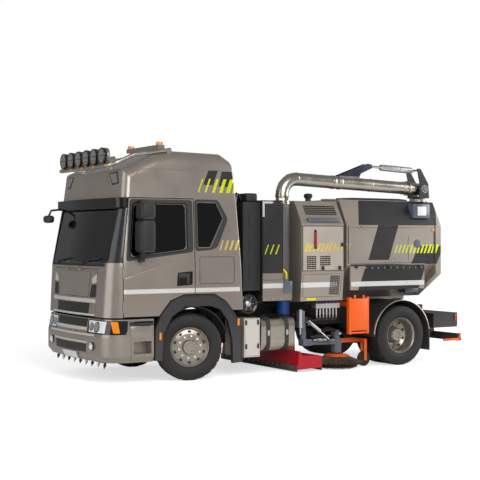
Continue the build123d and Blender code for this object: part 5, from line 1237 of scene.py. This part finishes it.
class SWEEPER_OT_chassis_boxes(bpy.types.Operator):
    """Straps, caps, latches, reel, fluid lines, guard edges and ladder panel along the chassis"""
    bl_idname = "sweeper.chassis_boxes"
    bl_label = "Chassis boxes"

    def execute(self, context):
        shape = Shape()
        loop = outline(rect(0.594, 1.191, 0.359, 0.931), 0.175, 8, 2)
        for x in (-1.335, -1.685):
            shape.prism(BLACK, loop, (AX + x - 0.036, AX + x + 0.036), "X")
            shape.box(ZINC, (AX + x - 0.02, 1.185, 0.62), (AX + x + 0.02, 1.2, 0.7), 0.005)
        ring = outline(rect(0.597, 1.188, 0.362, 0.928), 0.172, 8, 2)
        for x in (-1.2085, -1.8265):
            shape.prism("tank_aluminium", ring, (AX + x - 0.008, AX + x + 0.008), "X")
        shape.lathe(BLACK, (AX - 1.28, 1.1, 0.875), (0, 0.6, 1),
                    [(0.0, 0.05), (0.04, 0.052), (0.05, 0.045), (0.052, 0.0)], 24)
        box_low, box_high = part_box("battery_box")
        for x in (box_low.x + 0.02, box_high.x - 0.05):
            for z in (0.43, 0.8):
                shape.box(BLACK, (x, box_high.y - 0.005, z), (x + 0.03, box_high.y + 0.016, z + 0.075), 0.006)
        seam(shape, ("battery_box",), "left", rect(box_low.x + 0.012, box_high.x - 0.012, 0.895, 0.315), 0.005, 0.02)
        place = Matrix.Translation((REEL_X, 0.912, REEL_Z)) @ Matrix.Rotation(math.radians(-90), 4, "X")
        grow(shape, made_once("ribs", ribs_tree), "hose_rubber",
             {"Count": 8, "Pitch": 0.016, "Radius": 0.112, "Thickness": 0.012}, place=place)
        studs(shape, ZINC, 0.009, 0.008, 6, *circle_points((REEL_X, 1.0535, REEL_Z), (0, 1, 0), 0.12, 8))
        for i in range(7):
            x = AX - 2.35 - i * 0.066
            shape.tube(ZINC, [(x, 1.07, 0.905), (x - 0.005, 1.068, 0.86), (x - 0.02, 1.02, 0.82),
                              (x - 0.03, 0.9, 0.8), (x - 0.03, 0.6, 0.8), (x - 0.03, 0.458, 0.8)], 0.01, 8)
            shape.lathe(SLATE, (x, 1.07, 1.083), UP, [(0.0, 0.02), (0.03, 0.02), (0.035, 0.012), (0.06, 0.012),
                                                      (0.06, 0.0)], 12)
        for side in (1, -1):
            arc = hoop(RX, side * 1.255, HUB_Z, 0.602, [math.radians(a) for a in range(4, 177, 6)])
            shape.tube("tank_aluminium", arc, 0.011, 8)
        shape.tube(SLATE, [(-0.115, 0.45, 0.74), (-0.115, 1.07, 0.74)], 0.036, 14)
        shape.box(SLATE, (-0.165, 1.0, 0.7), (-0.065, 1.1, 0.98), 0.012)
        shape.lathe(ZINC, (-0.085, 1.085, 1.0), (0.0, 0, -1),
                    [(0.0, 0.0), (0.0, 0.03), (0.26, 0.03), (0.265, 0.034), (0.29, 0.034), (0.29, 0.016),
                     (0.4, 0.016), (0.4, 0.0)], 18)
        for i, x in enumerate((-0.3, -0.35, -0.4, -0.46, -0.52)):
            shape.tube(BLACK, [(x - 0.1, 0.455, 0.86 - 0.02 * i), (x - 0.06, 0.6, 0.93), (x, 0.78, 0.95 - 0.03 * i),
                               (x + 0.05, 0.92, 0.9 - 0.02 * i), (-0.215 - 0.006 * i, 0.965, 0.845),
                               (-0.21, 0.98, 0.802)], 0.011, 8)
        for x, z in ((-0.62, 0.98), (-0.7, 0.96), (-0.78, 0.97)):
            shape.tube(BLACK, [(x, 1.05, 1.02), (x - 0.01, 1.06, z - 0.05), (x - 0.06, 0.95, z - 0.16),
                               (x - 0.1, 0.75, z - 0.19), (x - 0.12, 0.455, z - 0.15)], 0.01, 8)
        turn = [a * math.pi / 18 for a in range(37)]
        for y, radius in ((1.062, 0.128), (1.066, 0.152), (1.07, 0.136)):
            shape.tube(GLOSS, hoop(REEL_X, y, REEL_Z, radius, turn), 0.012, 8)
        hub = Vector((REEL_X, 1.051, REEL_Z))
        shape.lathe(ZINC, hub, (0, 1, 0), [(0.0, 0.052), (0.012, 0.052), (0.016, 0.046), (0.03, 0.03),
                                           (0.032, 0.0)], 28)
        for i in range(6):
            spoke = Vector((math.cos(i * math.pi / 3), 0.0, math.sin(i * math.pi / 3)))
            shape.tube(SLATE, [hub + spoke * 0.045 + Vector((0, 0.01, 0)),
                               hub + spoke * 0.118 + Vector((0, 0.008, 0))], 0.009, 8)
        low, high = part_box("ladder")
        shape.box(ORANGE, (low.x + 0.035, high.y - 0.02, low.z + 0.055), (high.x - 0.035, high.y + 0.004, 1.155), 0.006)
        for x in (low.x + 0.1, high.x - 0.13):
            shape.box(ORANGE, (x, high.y - 0.012, 1.14), (x + 0.03, high.y + 0.006, 1.215), 0.006)
        piece("chassis_fittings", shape, "chassis")
        return {"FINISHED"}


class SWEEPER_OT_tail(bpy.types.Operator):
    """Tail lamps, brackets and reflectors at the rear"""
    bl_idname = "sweeper.tail"
    bl_label = "Tail"

    def execute(self, context):
        shape = Shape()
        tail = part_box("rear_underrun")[0].x - AX
        for side in (1, -1):
            for first, last, key in ((0.815, 0.925, "clear_lens"), (0.93, 1.04, "red_lens"),
                                     (1.045, 1.15, "amber_lens")):
                shape.plate(key, ("road_lamps",), "rear", rect(side * first, side * last, 0.79, 0.66), 2, 2, 0.008)
            for far, high in ((0.42, 0.4), (0.06, 0.49)):
                shape.side_box(ORANGE, side, (tail + 0.02, tail + far), (1.195, 1.222), (0.36, high), 0.005)
            lamp = (1.195, 1.214 if side > 0 else 1.222)
            shape.side_box("red_lens", side, (tail + 0.12, tail + 0.16), lamp, (0.7, 0.82))
            shape.side_box("red_lens", side, (tail - 0.006, tail + 0.004), (1.08, 1.17), (0.385, 0.44), 0.003)
        piece("tail_lamps", shape, "chassis")
        return {"FINISHED"}


COIL_STEPS = 14


def coil(shape, key, start, end, radius, turns, wire):
    """Coil spring wound round the line between two points."""
    start, end = Vector(start), Vector(end)
    line = (end - start).normalized()
    first = line.orthogonal().normalized()
    second = line.cross(first)
    run = []
    for i in range(turns * COIL_STEPS + 1):
        a = 2 * math.pi * i / COIL_STEPS
        at = start.lerp(end, i / (turns * COIL_STEPS))
        run.append(at + first * (radius * math.cos(a)) + second * (radius * math.sin(a)))
    shape.tube(key, run, wire, 6)


ROW_TINES = 150


class SWEEPER_OT_brush(bpy.types.Operator):
    """Side brush with its tines, bolts, lines and lift cylinder"""
    bl_idname = "sweeper.brush"
    bl_label = "Side brush"

    def execute(self, context):
        shape, gear = Shape(), Shape()
        spot = Vector(JOINTS["brush_spin"]["pos_m"])
        hub = Vector((spot.x, spot.y, 0.0))
        shape.lathe(ORANGE, hub, UP, [(0.196, 0.12), (0.196, 0.205), (0.203, 0.214), (0.212, 0.214), (0.22, 0.2),
                                      (0.229, 0.14), (0.236, 0.125), (0.237, 0.031), (0.225, 0.0)], 56)
        shape.lathe("skirt_rubber", hub, UP, [(0.15, 0.0), (0.15, 0.15), (0.2, 0.175), (0.2, 0.0)], 40)
        points, facings = [], []
        rows = look().tine_rows
        for r in range(rows):
            for i in range(ROW_TINES):
                a = 2 * math.pi * (i + 0.5 * (r % 2)) / ROW_TINES
                out = Vector((math.cos(a), math.sin(a), 0))
                radius = 0.125 + 0.075 * r / (rows - 1)
                points.append(hub + out * radius + Vector((0, 0, 0.198)))
                facings.append((out * (0.16 + 0.045 * r) + Vector((0, 0, -0.178))).normalized())
        shape.lathe("brown_tines", hub, UP, [(0.195, 0.15), (0.1, 0.25), (0.03, 0.345), (0.022, 0.3), (0.15, 0.1)], 48)
        grow(shape, made_once("tines", tines_tree), "brown_tines",
             {"Length": 0.25, "Thickness": 0.004, "Spread": 0.045, "Seed": 11}, points, facings)
        studs(shape, ZINC, 0.01, 0.014, 6, *circle_points((hub.x, hub.y, 0.229), UP, 0.165, 10))
        piece("brush_head", shape, "brush", ["side_brush"])
        studs(gear, ZINC, 0.009, 0.014, 6, *circle_points((hub.x, hub.y, 0.483), UP, 0.072, 6))
        gear.lathe(SLATE, (hub.x, hub.y, 0.0), UP, [(0.6, 0.0585), (0.622, 0.057), (0.63, 0.045), (0.631, 0.0)], 32)
        arm_pin = Vector(JOINTS["brush_lift"]["pos_m"])
        a, b = Vector((arm_pin.x - 0.08, 1.03, 0.49)), Vector((hub.x + 0.09, 1.03, 0.475))
        gear.lathe(ZINC, a, b - a, [(0.0, 0.018), (0.1, 0.018), (0.1, 0.026), (0.32, 0.026), (0.32, 0.012),
                                    (0.44, 0.012)], 16)
        gear.tube(ORANGE, [(hub.x - 0.1, 0.9, 0.47), (hub.x - 0.24, 0.905, 0.475),
                           (hub.x - 0.42, 0.905, 0.47)], 0.013, 10)
        gear.tube(SLATE, [(-0.41, 0.925, 0.535), (-0.82, 0.925, 0.535)], 0.016, 10)
        coil(gear, ZINC, (-0.44, 1.03, 0.489), (-0.62, 1.03, 0.482), 0.032, 7, 0.006)
        for y, bow in ((0.985, 0.055), (0.955, 0.085)):
            gear.tube(BLACK, [(hub.x + 0.03, y, 0.6), (hub.x + 0.09, y + 0.01, 0.625 + bow * 0.4),
                              (hub.x + 0.22, y + 0.02, 0.59 + bow), (hub.x + 0.38, y + 0.015, 0.555 + bow * 0.5),
                              (hub.x + 0.5, y, 0.515)], 0.011, 8)
        for y in (0.86, 1.04):
            gear.box(ZINC, (hub.x - 0.03, y - 0.012, 0.56), (hub.x + 0.03, y + 0.012, 0.6), 0.005)
        # Lift cylinder: its barrel rides on the post, its rod on the arm
        top, gland, foot = Vector((-0.26, 1.078, 0.8)), Vector((-0.47, 1.078, 0.6425)), Vector((-0.68, 1.078, 0.485))
        gear.tube("chrome", [gland.lerp(top, 0.35), foot], 0.011, 12)
        gear.box(SLATE, (foot.x - 0.035, 1.0, foot.z - 0.035), (foot.x + 0.035, 1.098, foot.z + 0.012), 0.008)
        piece("brush_gear", gear, "brush_carrier")
        mast = Shape()
        reach = (gland - top).length
        mast.lathe(ZINC, top, gland - top, [(-0.02, 0.0), (-0.02, 0.022), (0.0, 0.028), (reach - 0.03, 0.028),
                                            (reach - 0.03, 0.033), (reach, 0.033), (reach, 0.0)], 20)
        mast.box(SLATE, (-0.3, 0.96, 0.782), (-0.19, 1.1, 0.8), 0.006)
        mast.box(SLATE, (-0.285, 1.098, 0.745), (-0.225, 1.112, 0.8), 0.005)
        mast.collar(SLATE, (-0.21, 0.98, 0.6), UP, (-0.02, 0.02), 0.0475, 0.054, 28)
        piece("brush_lift_cylinder", mast, "brush_mast")
        return {"FINISHED"}


class SWEEPER_OT_nozzle(bpy.types.Operator):
    """Rubber flaps and bolts of the suction nozzle"""
    bl_idname = "sweeper.nozzle"
    bl_label = "Suction nozzle"

    def execute(self, context):
        shape = Shape()
        x = AX - 1.876
        shape.box("skirt_rubber", (x - 0.006, -1.18, 0.012), (x + 0.006, 1.2, 0.11), 0.003)
        shape.box("skirt_rubber", (AX - 2.366, -1.18, 0.015), (AX - 2.354, 1.2, 0.12), 0.003)
        points = [(x + 0.008, -1.1 + i * 0.145, 0.085) for i in range(16)]
        studs(shape, ZINC, 0.011, 0.01, 6, points, [(1, 0, 0.14)] * len(points))
        piece("nozzle_flaps", shape, "nozzle")
        return {"FINISHED"}


def cushion(shape, low, high, lean=0.0):
    """Crowned cushion that pulls in between its corners, leant back about its foot."""
    part = bmesh.new()
    bmesh.ops.create_cube(part, size=2.0)
    bmesh.ops.subdivide_edges(part, edges=part.edges, cuts=9, use_grid_fill=True)
    low, high = Vector(low), Vector(high)
    half, mid = (high - low) / 2, (low + high) / 2
    for v in part.verts:
        p = v.co.copy()
        size = (abs(p.x) ** 4 + abs(p.y) ** 4 + abs(p.z) ** 4) ** 0.25
        p = p / size
        pull = 0.05 * (1 - min(abs(p.x), 1) ** 2) * (abs(p.y) > 0.6)
        waist = 1 - pull - 0.03 * math.cos(p.z * 3.0) * (abs(p.y) > 0.8)
        v.co = mid + Vector((p.x * half.x, p.y * half.y * waist, p.z * half.z))
        v.co.x -= (v.co.z - low.z) * lean
    shape.take(part, "seat_cloth")


class SWEEPER_OT_seats(bpy.types.Operator):
    """Crew seats: sewn cushions on plastic pedestals"""
    bl_idname = "sweeper.seats"
    bl_label = "Seats"

    def execute(self, context):
        base = Shape()
        for side, name in SIDES:
            pads = Shape()
            y = sorted((side * 0.485, side * 0.955))
            cushion(pads, (AX - 0.035, y[0], 1.405), (AX + 0.555, y[1], 1.56))
            cushion(pads, (AX - 0.1, y[0] + 0.01, 1.535), (AX + 0.035, y[1] - 0.01, 2.26), 0.22)
            cushion(pads, (AX - 0.22, y[0] + 0.115, 2.25), (AX - 0.13, y[1] - 0.115, 2.455), 0.1)
            made = piece(f"seat_cushions_{name}", pads, "cab", ["seats"] if side > 0 else ())
            base.box(BLACK, (AX + 0.025, y[0] + 0.01, 1.192), (AX + 0.515, y[1] - 0.01, 1.41), 0.03)
        piece("seat_pedestals", base, "cab")
        return {"FINISHED"}


CAMERA = (10.095, 15.706, 2.125)
CAMERA_TURN = 31.718
LENS_MM, SENSOR_MM = 82.63, 36.0
FLOOR = 60
# Name, place, aim, power in watts and size of each light
LIGHTS = (("key", (3.6, 12.0, 7.5), (-0.7, 0.5, 1.4), 1060, 8.0),
          ("rim", (-12.0, 5.0, 5.0), (-1.8, 0.5, 1.6), 800, 7.5),
          ("front", (12.0, 1.0, 4.0), (2.5, 0, 1.5), 330, 8.0))


class SWEEPER_OT_stage(bpy.types.Operator):
    """Floor, soft lights and the camera"""
    bl_idname = "sweeper.stage"
    bl_label = "Stage"

    def execute(self, context):
        scene = context.scene
        scene.view_settings.view_transform = "Standard"
        mesh = bpy.data.meshes.new("floor")
        mesh.from_pydata([(-FLOOR, -FLOOR, 0), (FLOOR, -FLOOR, 0), (FLOOR, FLOOR, 0), (-FLOOR, FLOOR, 0)], [],
                         [(0, 1, 2, 3)])
        floor = bpy.data.objects.new("floor", mesh)
        scene.collection.objects.link(floor)
        material = bpy.data.materials.new("pale_floor")
        material.use_nodes = True
        tree = material.node_tree
        shader = tree.nodes["Principled BSDF"]
        shader.inputs["Base Color"].default_value = linear("#F4F3F1")
        shader.inputs["Roughness"].default_value = 0.9
        path = add_node(tree, "ShaderNodeLightPath").outputs
        place = add_node(tree, "ShaderNodeTexCoord").outputs["Object"]
        away = add_node(tree, "ShaderNodeVectorMath", [(0, place)], operation="LENGTH").outputs["Value"]
        lifted = calc(tree, "MULTIPLY", path["Is Camera Ray"], ramp(tree, away, 4.0, 15.0, 0.62, 0.8))
        shader.inputs["Emission Color"].default_value = (1, 1, 1, 1)
        tree.links.new(lifted, shader.inputs["Emission Strength"])
        mesh.materials.append(material)
        world = bpy.data.worlds.new("studio")
        scene.world = world
        world.use_nodes = True
        tree = world.node_tree
        tree.nodes.clear()
        path = add_node(tree, "ShaderNodeLightPath").outputs
        seen = calc(tree, "MAXIMUM", path["Is Camera Ray"], path["Is Transmission Ray"])
        soft = add_node(tree, "ShaderNodeBackground", [("Color", linear("#F3F4F6")), ("Strength", 0.3)]).outputs[0]
        white = add_node(tree, "ShaderNodeBackground", [("Color", (1, 1, 1, 1)), ("Strength", 1.0)]).outputs[0]
        mixed = add_node(tree, "ShaderNodeMixShader", [(0, seen), (1, soft), (2, white)]).outputs[0]
        add_node(tree, "ShaderNodeOutputWorld", [(0, mixed)])
        for name, spot, aim, power, size in LIGHTS:
            light = bpy.data.lights.new(name, "AREA")
            light.energy, light.size = power, size
            lamp = bpy.data.objects.new(name, light)
            scene.collection.objects.link(lamp)
            lamp.location = spot
            lamp.rotation_mode = "QUATERNION"
            lamp.rotation_quaternion = (Vector(aim) - Vector(spot)).to_track_quat("-Z", "Y")
        view = bpy.data.cameras.new("camera")
        view.sensor_width, view.lens = SENSOR_MM, LENS_MM
        view.clip_end = 200
        camera = bpy.data.objects.new("camera", view)
        scene.collection.objects.link(camera)
        turn = math.radians(CAMERA_TURN)
        camera.location = CAMERA
        camera.rotation_mode = "QUATERNION"
        camera.rotation_quaternion = Vector((-math.sin(turn), -math.cos(turn), 0)).to_track_quat("-Z", "Y")
        scene.camera = camera
        return {"FINISHED"}


OPERATORS = (SWEEPER_OT_part_finishes, SWEEPER_OT_wheels, SWEEPER_OT_cab_sides, SWEEPER_OT_cab_nose,
             SWEEPER_OT_roof_lamps, SWEEPER_OT_mirrors, SWEEPER_OT_hose, SWEEPER_OT_stack_and_tank, SWEEPER_OT_cowl,
             SWEEPER_OT_hopper, SWEEPER_OT_boom, SWEEPER_OT_chassis_boxes, SWEEPER_OT_tail, SWEEPER_OT_brush,
             SWEEPER_OT_nozzle, SWEEPER_OT_seats, SWEEPER_OT_stage)


class SWEEPER_PT_looks(bpy.types.Panel):
    """Lists the steps that dress the truck"""
    bl_idname = "SWEEPER_PT_looks"
    bl_label = "Sweeper looks"
    bl_space_type = "VIEW_3D"
    bl_region_type = "UI"
    bl_category = "Sweeper"

    def draw(self, context):
        for key in SweeperLook.__annotations__:
            self.layout.prop(context.scene.sweeper_look, key)
        for operator in OPERATORS:
            self.layout.operator(operator.bl_idname)


CLASSES = (SweeperLook, *OPERATORS, SWEEPER_PT_looks)


def register():
    for item in CLASSES:
        bpy.utils.register_class(item)
    bpy.types.Scene.sweeper_look = PointerProperty(type=SweeperLook)


def unregister():
    del bpy.types.Scene.sweeper_look
    for item in reversed(CLASSES):
        bpy.utils.unregister_class(item)


def main():
    """Dress the truck."""
    register()
    for name in ("Cube", "Light", "Camera"):
        if name in bpy.data.objects:
            bpy.data.objects.remove(bpy.data.objects[name])
    for operator in OPERATORS:
        group, step = operator.bl_idname.split(".")
        getattr(getattr(bpy.ops, group), step)()


if __name__ == "__main__":
    main()
